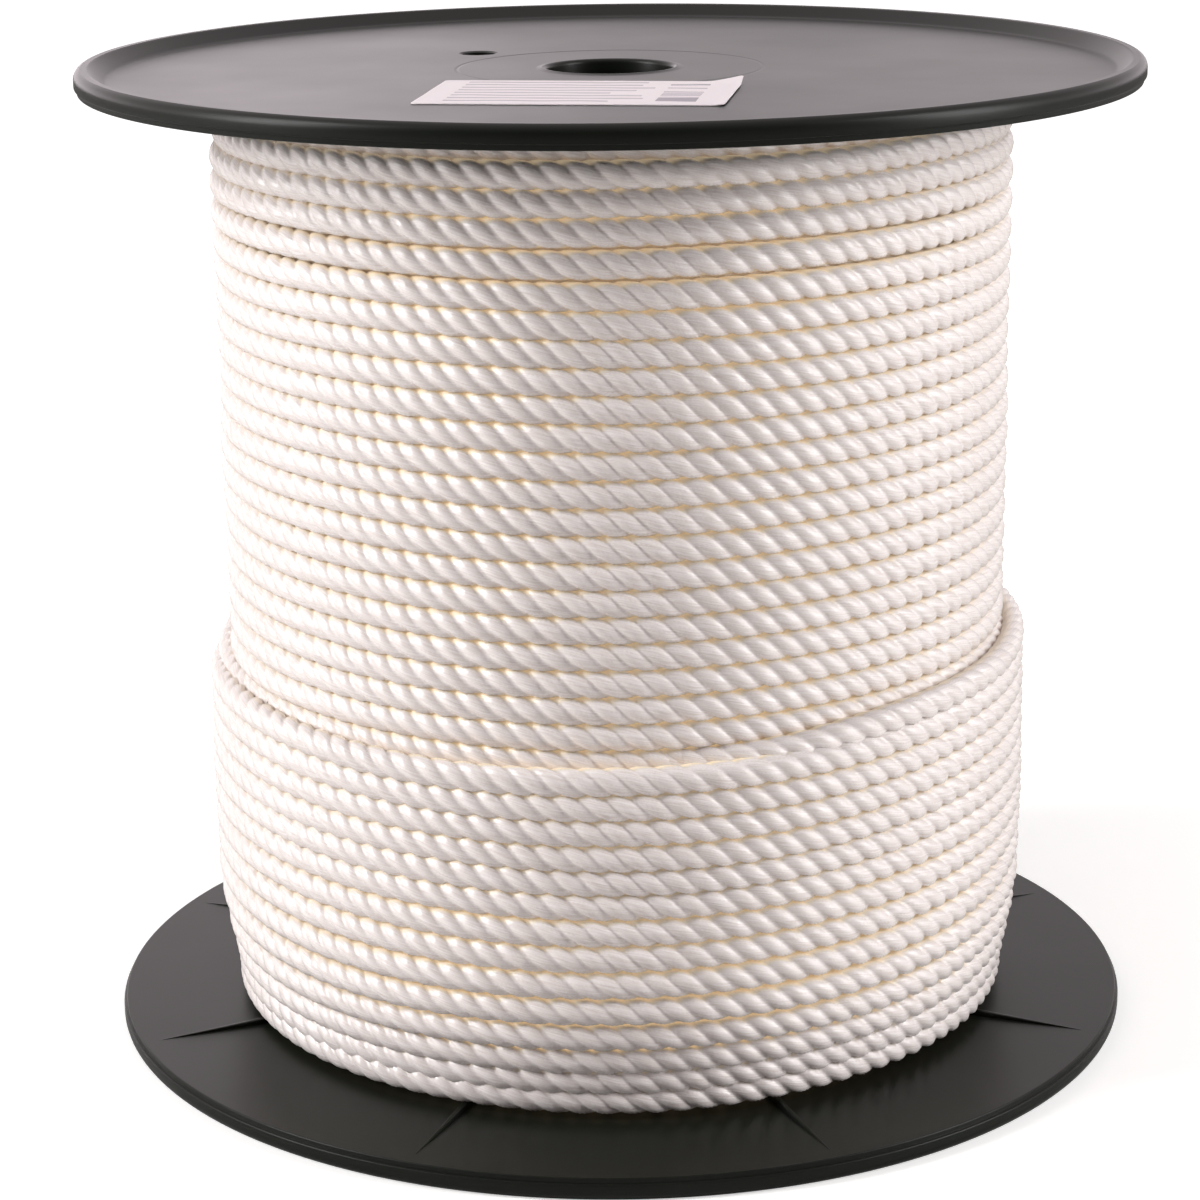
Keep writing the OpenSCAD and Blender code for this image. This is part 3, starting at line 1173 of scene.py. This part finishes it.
    def build_outer(self) -> None:
        """Builds the part layer in three pieces, and the run that ends it."""
        step = self.rope.step(Detail.FULL)
        end = len(self.outer_turns) - 0.5 + self.dive_z[-1][0] / 360
        used = 0.0
        half, top = self.outer_piece_turns, len(self.outer_turns) - 1.0
        for part, (first, last) in enumerate(((0.0, half), (half, top), (top, end))):
            path = self.outer_path(first, last, step)
            piece = self.rope.sweep(f"wound_rope_part_layer_{part + 1}", path, Detail.FULL, used,
                                    self.end_exposed if first == top else 0.0)
            used += sum((b - a).length for a, b in zip(path, path[1:]))
            place(piece, "rope", *(["rope_part_layer"] if part == 0 else []))
        piece = self.rope.sweep("wound_rope_free_end", self.free_end_path(step), Detail.FULL, used,
                                self.end_exposed)
        place(piece, "rope")

    def build(self) -> None:
        """Builds every layer, the covered ones plainer than those that show."""
        for number in range(1, self.layers - 1):
            turns = len(self.levels(number))
            self.build_layer(number, ((0, turns, Detail.BURIED),))
        self.build_layer(self.layers - 1, ((0, self.turns - 1, Detail.COVERED),))
        hidden = self.seen_turns + 1
        seen = tuple((first, min(first + self.piece_turns, hidden), Detail.FULL)
                     for first in range(0, hidden, self.piece_turns))
        self.build_layer(self.layers, (*seen, (hidden, self.turns, Detail.COVERED)))
        self.build_outer()


# ---- the moulded reel ----

# how upright a face's normal is if the face is level
LEVEL = 0.99999


def arc(centre: tuple[float, float], radius: float, start: float, end: float,
        steps: int) -> list[tuple[float, float]]:
    """Lists points on an arc.

    Args:
        centre: the arc's centre.
        radius: its radius.
        start: its first direction in degrees.
        end: its last direction.
        steps: how many straight steps it has.

    Returns:
        steps + 1 points.
    """
    turns = [math.radians(start + (end - start) * i / steps) for i in range(steps + 1)]
    return [(centre[0] + radius * math.cos(t), centre[1] + radius * math.sin(t)) for t in turns]


def turned(name: str, outline: list[tuple[float, float]], segments: int) -> bpy.types.Mesh:
    """Turns a closed outline round the Z axis.

    Args:
        name: the mesh's name.
        outline: radius and height in millimetres, anticlockwise with the axis on the left.
        segments: how many steps make the full circle.

    Returns:
        The closed mesh in metres.
    """
    count = len(outline)
    turns = [TURN * i / segments for i in range(segments)]
    verts = [(r * math.cos(turn) * MM, r * math.sin(turn) * MM, z * MM)
             for turn in turns for r, z in outline]
    faces = [(i * count + j, (i + 1) % segments * count + j,
              (i + 1) % segments * count + (j + 1) % count, i * count + (j + 1) % count)
             for i in range(segments) for j in range(count)]
    return mesh_of(name, verts, [], faces)


def prism(name: str, outline: list[tuple[float, float]], low: float, high: float,
          place_at: Matrix = Matrix()) -> bpy.types.Mesh:
    """Extrudes a closed outline along Z.

    Args:
        name: the mesh's name.
        outline: x and y in millimetres, anticlockwise.
        low: height of the lower face.
        high: height of the upper face.
        place_at: how the prism is turned and moved afterwards, in millimetres.

    Returns:
        The closed mesh in metres.
    """
    count = len(outline)
    points = [place_at @ Vector((x, y, z)) * MM for z in (low, high) for x, y in outline]
    sides = [(i, (i + 1) % count, count + (i + 1) % count, count + i) for i in range(count)]
    ends = [tuple(reversed(range(count))), tuple(range(count, 2 * count))]
    return mesh_of(name, points, [], sides + ends)


def cut(mesh: bpy.types.Mesh, cutter: bpy.types.Mesh) -> bpy.types.Mesh:
    """Cuts one closed mesh out of another.

    Args:
        mesh: the mesh that is cut.
        cutter: what is taken away.

    Returns:
        The cut mesh.
    """
    body = new_object("being_cut", mesh)
    tool = new_object("cutter", cutter)
    modifier = body.modifiers.new("cut", "BOOLEAN")
    modifier.operation = "DIFFERENCE"
    modifier.solver = "EXACT"
    modifier.object = tool
    result = baked(body)
    bpy.data.objects.remove(body)
    bpy.data.objects.remove(tool)
    return result


def gathered(name: str, meshes: list[bpy.types.Mesh], sharp: float = 32.0) -> bpy.types.Mesh:
    """Puts several meshes into one, smooth but for its sharp edges.

    Args:
        name: the new mesh's name.
        meshes: what goes in.
        sharp: the angle in degrees from which an edge stays sharp.

    Returns:
        The one mesh.
    """
    whole = bmesh.new()
    for mesh in meshes:
        whole.from_mesh(mesh)
    result = bpy.data.meshes.new(name)
    whole.to_mesh(result)
    whole.free()
    result.shade_smooth()
    result.set_sharp_from_angle(angle=math.radians(sharp))
    # the large level faces are flat, and take no shading from the rounds beside them
    for face in result.polygons:
        if abs(face.normal.z) > LEVEL:
            face.use_smooth = False
    return result


@dataclass
class Flange:
    """One flange moulding: rim, disc with its fins, arbor collar, and spigot with snap hooks."""

    flange_r: float
    rim_h: float
    # the rim: its bead, the flat land on it, the slope to the disc, and the step round its edge
    bead_w: float = 5.0
    land_w: float = 1.6
    slope_run: float = 2.8
    foot_r: float = 3.0
    step_in: float = 0.7
    strip_h: float = 1.4
    edge_r: float = 0.35
    disc_t: float = 2.6
    # the fins on the inner face, full from the barrel to where they taper towards the rim
    fin_count: int = 8
    fin_h: float = 1.4
    fin_w: float = 1.6
    fin_tip_w: float = 0.4
    fin_margin: float = 5.5
    fin_taper: float = 28.0
    fin_tip_h: float = 0.02
    fin_gap: float = 0.4
    fin_round: float = 0.3
    fin_steps: int = 12
    # the hole for the rope's inner end: size, distance from the axis and direction
    start_d: float = 9.0
    start_r: float = 49.5
    start_dir: float = 134.0
    start_segments: int = 40
    # the arbor bore, its collar, and the low lip round its mouth
    bore_r: float = 15.875
    collar_t: float = 2.6
    collar_l: float = 34.0
    lip_w: float = 2.2
    lip_h: float = 0.3
    lip_blend: float = 1.2
    lip_end: float = 295.0
    # the sink ring over the spigot's foot
    sink_r: float = 38.5
    sink_w: float = 1.4
    sink_depth: float = 0.09
    # what the barrel hides: spigot, ribs, and snap hooks with a slot at each side
    spigot_r: float = 36.8
    spigot_t: float = 2.4
    spigot_h: float = 16.0
    barrel_r: float = 40.0
    rib_t: float = 1.8
    rib_h: float = 12.0
    hook_count: int = 4
    hook_w: float = 10.0
    hook_out: float = 1.8
    hook_h: float = 4.0
    hook_nose: float = 0.8
    hook_up: float = 7.0
    slot_w: float = 1.2
    # how deep pieces of the moulding run into each other, and how far a cutter reaches past it
    fuse: float = 0.5
    overcut: float = 2.0
    segments: int = 288
    curve_steps: int = 6

    @property
    def recess(self) -> float:
        """Depth of the outer face below the bead's crest."""
        return self.rim_h - self.disc_t

    def outline(self) -> list[tuple[float, float]]:
        """Draws the section of the disc, its rim and the collar, outer face down.

        Returns:
            A closed outline, anticlockwise, in millimetres.
        """
        bead_r = self.bead_w / 2
        bead = (self.flange_r - bead_r, math.sqrt(bead_r ** 2 - self.land_w ** 2 / 4))
        corner = (self.flange_r - self.bead_w - self.slope_run, self.recess)
        to_bead = Vector(bead) - Vector(corner)
        slope = math.atan2(to_bead.y, to_bead.x) - math.asin(bead_r / to_bead.length)
        foot = self.foot_r * math.tan(-slope / 2)
        slope = math.degrees(slope)
        land = math.degrees(math.acos(bead[1] / bead_r))
        lip = (self.bore_r + self.lip_w / 2, self.recess + self.lip_w / 2 - self.lip_h)
        step_z = self.rim_h - self.strip_h
        edge = self.flange_r - self.step_in
        top = self.recess + self.collar_l
        collar = self.bore_r + self.collar_t
        e = self.edge_r
        return (
            arc((self.bore_r + e, top - e), e, 90, 180, 3)
            + arc(lip, self.lip_w / 2, 180, self.lip_end, 8)
            + self.blend(lip)
            + self.sink_mark()
            + arc((corner[0] - foot, self.recess - self.foot_r), self.foot_r, 90, 90 + slope, 7)
            + arc(bead, bead_r, 270 + slope, 270 - land, 5)
            + arc(bead, bead_r, 270 + land, 360, 7)
            + arc((self.flange_r - e, step_z - e), e, 0, 90, 3)
            + arc((edge + e / 2, step_z + e / 2), e / 2, 270, 180, 2)
            + arc((edge - e, self.rim_h - e), e, 0, 90, 3)
            + arc((collar + 2 * e, self.rim_h + 2 * e), 2 * e, 270, 180, 4)
            + arc((collar - e, top - e), e, 0, 90, 3)
        )

    def blend(self, lip: tuple[float, float]) -> list[tuple[float, float]]:
        """Draws how the bore's lip runs out into the disc's outer face.

        Args:
            lip: the middle of the lip's round.

        Returns:
            Points from the lip outwards.
        """
        n = self.curve_steps
        start = arc(lip, self.lip_w / 2, self.lip_end, self.lip_end + 5, 1)[1]
        return [(start[0] + self.lip_blend / n * i,
                 start[1] + (self.recess - start[1]) * ease(i / n)) for i in range(n + 1)]

    def sink_mark(self) -> list[tuple[float, float]]:
        """Draws the shallow ring that the spigot's foot leaves on the outer face.

        Returns:
            Points from the inside out.
        """
        n = self.curve_steps
        return [(self.sink_r + self.sink_w * (i / n - 0.5),
                 self.recess + self.sink_depth * math.sin(math.pi * i / n) ** 2)
                for i in range(n + 1)]

    def around(self, mesh: bpy.types.Mesh, count: int, first: float,
               material: bpy.types.Material) -> bpy.types.Mesh:
        """Repeats a small mesh round the axis with the ring tree.

        Args:
            mesh: the shape, lying along +X.
            count: how many copies make the ring.
            first: direction of the first copy, in degrees.
            material: its material.

        Returns:
            The ring as one mesh.
        """
        tree = bpy.data.node_groups.get("ring_of_copies") or self.ring_tree()
        piece = new_object("ring", mesh)
        result = run_nodes(piece, tree, {"Count": count, "First": math.radians(first),
                                         "Material": material})
        bpy.data.objects.remove(piece)
        return result

    def ring_tree(self) -> bpy.types.NodeTree:
        """Builds the tree that sets copies of a mesh round the Z axis.

        Returns:
            The geometry tree.
        """
        tree = geometry_tree("ring_of_copies", {
            "Count": ("NodeSocketInt", 8),
            "First": ("NodeSocketFloat", 0.0),
            "Material": ("NodeSocketMaterial", None),
        })
        given = tree.nodes["Group Input"].outputs
        spots = add_node(tree, "GeometryNodeMeshLine",
                         inputs={"Count": given["Count"], "Offset": (0.0, 0.0, 0.0)})
        share = maths(tree, "DIVIDE", add_node(tree, "GeometryNodeInputIndex").outputs[0],
                      given["Count"])
        angle = maths(tree, "ADD", maths(tree, "MULTIPLY", share, TURN), given["First"])
        turn = add_node(tree, "ShaderNodeCombineXYZ", inputs={2: angle})
        copies = add_node(tree, "GeometryNodeInstanceOnPoints",
                          inputs={"Points": spots.outputs[0], "Instance": given["Geometry"],
                                  "Rotation": turn.outputs[0]})
        finish_tree(tree, copies.outputs[0])
        return tree

    def fin(self) -> bpy.types.Mesh:
        """Builds one low fin along +X, pointed towards the rim, its top edges rounded."""
        start = self.barrel_r + self.fin_gap
        end = self.flange_r - self.fin_margin
        knee = end - self.fin_taper
        base = self.rim_h - self.fuse
        verts, faces = [], []
        steps = self.fin_steps
        for i in range(steps + 2):
            share = max(0, i - 1) / steps
            x = start if i == 0 else knee + (end - knee) * share
            high = self.rim_h + self.fin_h * (1 - share)
            high += self.fin_tip_h if i == steps + 1 else 0.0
            half = (self.fin_w + (self.fin_tip_w - self.fin_w) * share) / 2
            # a thin or low fin has less room for its rounds
            r = min(self.fin_round, half * 0.6, (high - self.rim_h) * 0.7)
            round_in = 0.3 * r
            ring = [(half, base), (half, high - r), (half - round_in, high - round_in),
                    (half - r, high), (r - half, high), (round_in - half, high - round_in),
                    (-half, high - r), (-half, base)]
            verts += [(x * MM, y * MM, z * MM) for y, z in ring]
        n = len(ring)
        for i in range(steps + 1):
            faces += [(i * n + j, (i + 1) * n + j, (i + 1) * n + (j + 1) % n, i * n + (j + 1) % n)
                      for j in range(n)]
        faces += [tuple(range(n)), tuple(reversed(range((steps + 1) * n, (steps + 2) * n)))]
        return mesh_of("fin", verts, [], faces)

    def hub(self, material: bpy.types.Material) -> list[bpy.types.Mesh]:
        """Builds what the barrel hides: the spigot with its slots, the ribs and the hooks.

        Args:
            material: the plastic.

        Returns:
            Their meshes.
        """
        lead = self.spigot_t / 3
        top = self.rim_h + self.spigot_h
        inner = self.spigot_r - self.spigot_t
        spigot = turned("spigot", [(inner, self.rim_h - self.fuse),
                                   (self.spigot_r, self.rim_h - self.fuse),
                                   (self.spigot_r, top - lead), (self.spigot_r - lead, top),
                                   (inner, top)], self.segments // 2)
        side = (self.hook_w + self.slot_w) / 2
        near, far = inner - self.overcut, self.spigot_r + self.overcut
        slots = gathered("slots", [
            self.around(prism("slot", [(near, middle - self.slot_w / 2),
                                       (far, middle - self.slot_w / 2),
                                       (far, middle + self.slot_w / 2),
                                       (near, middle + self.slot_w / 2)],
                              self.rim_h + self.fuse, top + self.overcut),
                        self.hook_count, 0, material) for middle in (-side, side)])
        reach = self.bore_r + self.collar_t - self.fuse
        half = self.rib_t / 2
        rib = prism("hub_rib", [(reach, -half), (inner + self.fuse, -half),
                                (inner + self.fuse, half), (reach, half)],
                    self.rim_h - self.fuse, self.rim_h + self.rib_h)
        foot = self.rim_h + self.hook_up
        root = self.spigot_r - self.spigot_t / 2
        out = self.spigot_r + self.hook_out
        stand = Matrix.Translation((0, self.hook_w / 2, 0)) @ Matrix.Rotation(math.pi / 2, 4, "X")
        hook = prism("hook", [(root, foot), (out, foot), (out, foot + self.hook_nose),
                              (self.spigot_r, foot + self.hook_h), (root, foot + self.hook_h)],
                     0, self.hook_w, stand)
        step = 360 / self.fin_count
        return [cut(spigot, slots), self.around(rib, self.fin_count, step / 2, material),
                self.around(hook, self.hook_count, 0, material)]

    def start_hole(self) -> bpy.types.Mesh:
        """Builds the tool that drills the hole for the rope's inner end, with a broken edge."""
        r = self.start_d / 2
        e = self.edge_r
        low, high = self.recess - self.overcut, self.rim_h + self.overcut
        outline = [(r + 3 * e, low), (r + 3 * e, self.recess - e), (r + 2 * e, self.recess),
                   (r, self.recess + e), (r, high)]
        count = self.start_segments
        verts = [(x * math.cos(TURN * i / count), x * math.sin(TURN * i / count), z)
                 for i in range(count) for x, z in outline]
        n = len(outline)
        verts += [(0, 0, low), (0, 0, high)]
        faces = [(i * n + j, (i + 1) % count * n + j, (i + 1) % count * n + j + 1, i * n + j + 1)
                 for i in range(count) for j in range(n - 1)]
        faces += [(count * n, (i + 1) % count * n, i * n) for i in range(count)]
        faces += [(count * n + 1, i * n + n - 1, (i + 1) % count * n + n - 1)
                  for i in range(count)]
        move = Matrix.Rotation(math.radians(-self.start_dir), 4, "Z") @ Matrix.Translation(
            (self.start_r, 0, 0))
        return mesh_of("start_hole", [move @ Vector(v) * MM for v in verts], [], faces)

    def build(self, material: bpy.types.Material, upper_z: float) -> None:
        """Builds the moulding once and sets it at both ends of the reel.

        Args:
            material: the plastic.
            upper_z: height of the resting plane of the upper flange, in millimetres.
        """
        disc = cut(turned("disc", self.outline(), self.segments), self.start_hole())
        fins = self.around(self.fin(), self.fin_count, 180 / self.fin_count, material)
        for name, node, place_at in (
                ("lower_flange_moulding", "lower_flange", Matrix()),
                ("upper_flange_moulding", "upper_flange",
                 Matrix.Translation((0, 0, upper_z * MM)) @ Matrix.Rotation(math.pi, 4, "X"))):
            mesh = gathered(name, [disc, fins, *self.hub(material)])
            mesh.transform(place_at)
            mesh.materials.clear()
            mesh.materials.append(material)
            mesh.polygons.foreach_set("material_index", [0] * len(mesh.polygons))
            place(new_object(name, mesh), "flange_plastic", node)


@dataclass
class Label:
    """The paper label on the upper flange, stuck down flat but for one corner that has lifted."""

    width: float = 73.0
    depth: float = 45.0
    thick: float = 0.2
    at: tuple[float, float] = (-7.0, -53.0)
    turn: float = -8.0
    corner_r: float = 1.2
    # the lifted corner, the edge beside it, and the paper's slight ripples: heights and reaches
    lift: float = 1.2
    lift_reach: float = 9.0
    edge_lift: float = 0.25
    edge_reach: float = 3.0
    seat: float = 0.02
    ripple: float = 0.04
    ripple_across: tuple[float, float] = (0.35, 0.9)
    ripple_up: float = 0.28
    # the sheet's mesh, about one step to a millimetre
    columns: int = 73
    rows: int = 45

    def height(self, x: float, y: float) -> float:
        """Gives the paper's height over the flange at a place on it, in millimetres.

        Args:
            x: place across the label from its middle.
            y: place up the label.

        Returns:
            The height of its lower face.
        """
        away = math.hypot(self.width / 2 - x, self.depth / 2 - y)
        edge = 1 - (self.width / 2 - x) / self.edge_reach
        waves = math.sin(self.ripple_across[0] * x + self.ripple_across[1])
        waves *= math.sin(self.ripple_up * y)
        return (self.seat + self.lift * ease(1 - away / self.lift_reach)
                + self.edge_lift * ease(edge) + self.ripple * (1 + waves))

    def build(self, material: bpy.types.Material, face_z: float) -> None:
        """Builds the label as a closed thin sheet.

        Args:
            material: the paper.
            face_z: height of the flange's outer face, in millimetres.
        """
        place_at = (Matrix.Translation((*self.at, face_z))
                    @ Matrix.Rotation(math.radians(self.turn), 4, "Z"))
        nx, ny = self.columns + 1, self.rows + 1
        verts = []
        for layer in (0.0, self.thick):
            for j in range(ny):
                for i in range(nx):
                    x = self.width * (i / self.columns - 0.5)
                    y = self.depth * (j / self.rows - 0.5)
                    x, y = self.rounded(x, y)
                    verts.append(place_at @ Vector((x, y, self.height(x, y) + layer)) * MM)
        top = nx * ny
        faces = []
        for j in range(self.rows):
            for i in range(self.columns):
                a = j * nx + i
                faces.append((a, a + nx, a + nx + 1, a + 1))
                faces.append((top + a, top + a + 1, top + a + nx + 1, top + a + nx))
        border = ([i for i in range(nx)] + [j * nx + nx - 1 for j in range(1, ny)]
                  + [(ny - 1) * nx + i for i in range(nx - 2, -1, -1)]
                  + [j * nx for j in range(ny - 2, 0, -1)])
        for a, b in zip(border, border[1:] + border[:1]):
            faces.append((a, b, top + b, top + a))
        mesh = mesh_of("paper_label", verts, [], faces)
        mesh.shade_smooth()
        mesh.set_sharp_from_angle(angle=math.radians(40))
        sheet = mesh.attributes.new("sheet", "FLOAT_VECTOR", "POINT")
        spots = [(i / self.columns, j / self.rows, 0.0) for j in range(ny) for i in range(nx)]
        sheet.data.foreach_set("vector", [value for spot in spots * 2 for value in spot])
        mesh.materials.append(material)
        place(new_object("paper_label", mesh), "label_paper", "label")

    def rounded(self, x: float, y: float) -> tuple[float, float]:
        """Pulls a place near a corner of the sheet onto the corner's round.

        Args:
            x: place across the label from its middle.
            y: place up the label.

        Returns:
            The place, moved if it lay outside the round.
        """
        cx = self.width / 2 - self.corner_r
        cy = self.depth / 2 - self.corner_r
        dx, dy = abs(x) - cx, abs(y) - cy
        if dx <= 0 or dy <= 0:
            return x, y
        far = math.hypot(dx, dy)
        pull = min(1.0, max(dx, dy) / far)
        return math.copysign(cx + dx * pull, x), math.copysign(cy + dy * pull, y)


# ---- camera, lamps and floor ----


@dataclass
class Studio:
    """A plain pale studio: a white floor, a bright backdrop and two large soft lamps."""

    # the camera's place in metres and its turns in radians
    camera_at: tuple[float, float, float] = (0.0, -0.8288, 0.3421)
    pitch: float = 0.2751
    roll: float = 0.0131
    yaw: float = -0.0051
    lens_mm: float = 98.22
    # the two lamps, and the height that they face
    lamp_size: tuple[float, float] = (0.45, 1.1)
    aim_z: float = 0.13
    # the surround that gloss reflects: each part's range of direction, and its strength at the
    # ends of it (y is away from the camera, z up, x to the right)
    behind: tuple[Span, Span] = ((-0.6, 0.9), (0.08, 2.05))
    low: tuple[Span, Span] = ((0.08, 0.3), (1.0, 0.45))
    left: tuple[Span, Span] = ((-0.08, 0.01), (1.55, 0.82))
    right: tuple[Span, Span] = ((0.01, 0.12), (0.82, 1.1))
    above: tuple[Span, Span] = ((0.5, 0.95), (0.0, 0.8))
    ambient: float = 0.15
    # the light that the floor adds for the camera alone, by metres from the reel's axis
    floor_glow: tuple[Span, Span] = ((0.15, 0.6), (0.5, 1.0))
    floor_half: float = 6.0

    def camera(self) -> None:
        """Sets up the camera at the viewing angle."""
        data = bpy.data.cameras.new("camera")
        data.lens = self.lens_mm
        data.sensor_width = 36.0
        data.clip_start = 0.05
        data.clip_end = 50.0
        camera = bpy.data.objects.new("camera", data)
        bpy.context.scene.collection.objects.link(camera)
        ahead = Vector((math.sin(self.yaw), math.cos(self.yaw), 0))
        side = Vector((math.cos(self.yaw), -math.sin(self.yaw), 0))
        look = math.cos(self.pitch) * ahead - math.sin(self.pitch) * Vector((0, 0, 1))
        rise = math.sin(self.pitch) * ahead + math.cos(self.pitch) * Vector((0, 0, 1))
        right = math.cos(self.roll) * side - math.sin(self.roll) * rise
        up = math.sin(self.roll) * side + math.cos(self.roll) * rise
        turn = Matrix((right, up, -look)).transposed().to_4x4()
        camera.matrix_world = Matrix.Translation(self.camera_at) @ turn
        bpy.context.scene.camera = camera

    def lamp(self, name: str, at: tuple[float, float, float], power: float) -> None:
        """Adds a soft rectangular lamp that faces the middle of the reel.

        Args:
            name: the lamp's name.
            at: its place in metres.
            power: its power in watts.
        """
        data = bpy.data.lights.new(name, "AREA")
        data.shape = "RECTANGLE"
        data.size, data.size_y = self.lamp_size
        data.energy = power
        lamp = bpy.data.objects.new(name, data)
        lamp.location = at
        aim = Vector((0, 0, self.aim_z)) - Vector(at)
        lamp.rotation_euler = aim.to_track_quat("-Z", "Y").to_euler()
        bpy.context.scene.collection.objects.link(lamp)

    def lamps(self) -> None:
        """Adds the two large lamps, left and right of the reel."""
        self.lamp("lamp_left", (-1.35, -0.36, 0.80), 26.0)
        self.lamp("lamp_right", (1.35, -0.36, 0.65), 19.5)

    def world(self) -> None:
        """Sets a white background and a soft surround that is brighter behind the reel."""
        world = bpy.data.worlds.new("studio")
        world.use_nodes = True
        bpy.context.scene.world = world
        tree = world.node_tree
        background = tree.nodes["Background"]
        rays = add_node(tree, "ShaderNodeLightPath").outputs
        way = add_node(tree, "ShaderNodeTexCoord").outputs["Generated"]
        x, y, z = add_node(tree, "ShaderNodeSeparateXYZ", inputs={0: way}).outputs
        side = maths(tree, "MAXIMUM", ranged(tree, x, *self.left), ranged(tree, x, *self.right))
        behind = maths(tree, "MULTIPLY", ranged(tree, y, *self.behind), ranged(tree, z, *self.low))
        around = maths(tree, "ADD", maths(tree, "MULTIPLY", behind, side),
                       ranged(tree, z, *self.above))
        seen = maths(tree, "MAXIMUM", rays["Is Camera Ray"], rays["Is Transmission Ray"])
        glossy = add_node(tree, "ShaderNodeMix", {"data_type": "FLOAT"},
                          {0: rays["Is Glossy Ray"], 2: self.ambient, 3: around}).outputs[0]
        strength = add_node(tree, "ShaderNodeMix", {"data_type": "FLOAT"},
                            {0: seen, 2: glossy, 3: 1.0}).outputs[0]
        tint = mixed(tree, seen, srgb("FFF4F8"), srgb("FFFFFF"))
        tree.links.new(tint, background.inputs["Color"])
        tree.links.new(strength, background.inputs["Strength"])

    def floor(self) -> None:
        """Lays the pale floor, which keeps the reel's shadow."""
        half = self.floor_half
        mesh = mesh_of("studio_floor", [(-half, -half, 0), (half, -half, 0), (half, half, 0),
                                        (-half, half, 0)], [], [(0, 1, 2, 3)])
        floor = new_object("studio_floor", mesh)
        material = bpy.data.materials.new("white_paper_sweep")
        material.use_nodes = True
        tree = material.node_tree
        tree.nodes.remove(tree.nodes["Principled BSDF"])
        rays = add_node(tree, "ShaderNodeLightPath").outputs
        paper = add_node(tree, "ShaderNodeBsdfDiffuse", inputs={"Color": srgb("E4E2E0")})
        where = add_node(tree, "ShaderNodeTexCoord").outputs["Object"]
        far = add_node(tree, "ShaderNodeVectorMath", {"operation": "LENGTH"},
                       {0: where}).outputs[1]
        fill = ranged(tree, far, *self.floor_glow)
        glow = add_node(tree, "ShaderNodeEmission",
                        inputs={"Color": (1, 1, 1, 1),
                                "Strength": maths(tree, "MULTIPLY", rays["Is Camera Ray"], fill)})
        both = add_node(tree, "ShaderNodeAddShader",
                        inputs={0: paper.outputs[0], 1: glow.outputs[0]})
        tree.links.new(both.outputs[0], tree.nodes["Material Output"].inputs["Surface"])
        mesh.materials.append(material)

    def build(self) -> None:
        """Builds the whole studio."""
        self.camera()
        self.lamps()
        self.world()
        self.floor()
        bpy.context.scene.view_settings.view_transform = "Standard"


def main() -> None:
    """Builds the pieces in order and hands them to the frame."""
    logging.basicConfig(level=logging.INFO, format="%(message)s")
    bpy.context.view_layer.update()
    Studio().build()
    lower_low, lower_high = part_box("lower_flange")
    upper_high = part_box("upper_flange")[1]
    barrel_low, barrel_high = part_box("barrel")
    plastic = MouldedPlastic("moulded_polystyrene").material()
    flange = Flange(flange_r=lower_high.x / MM, rim_h=(barrel_low.z - lower_low.z) / MM)
    flange.build(plastic, upper_high.z / MM)
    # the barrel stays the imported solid, since the rope hides it
    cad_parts["barrel"].data.materials.clear()
    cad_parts["barrel"].data.materials.append(plastic)
    Label().build(StickerPaper("uncoated_sticker_paper").material(),
                  upper_high.z / MM - flange.recess)
    Winding(Rope(), barrel_r=barrel_high.x / MM, lower_face=barrel_low.z / MM,
            upper_face=barrel_high.z / MM).build()


if __name__ == "__main__":
    main()
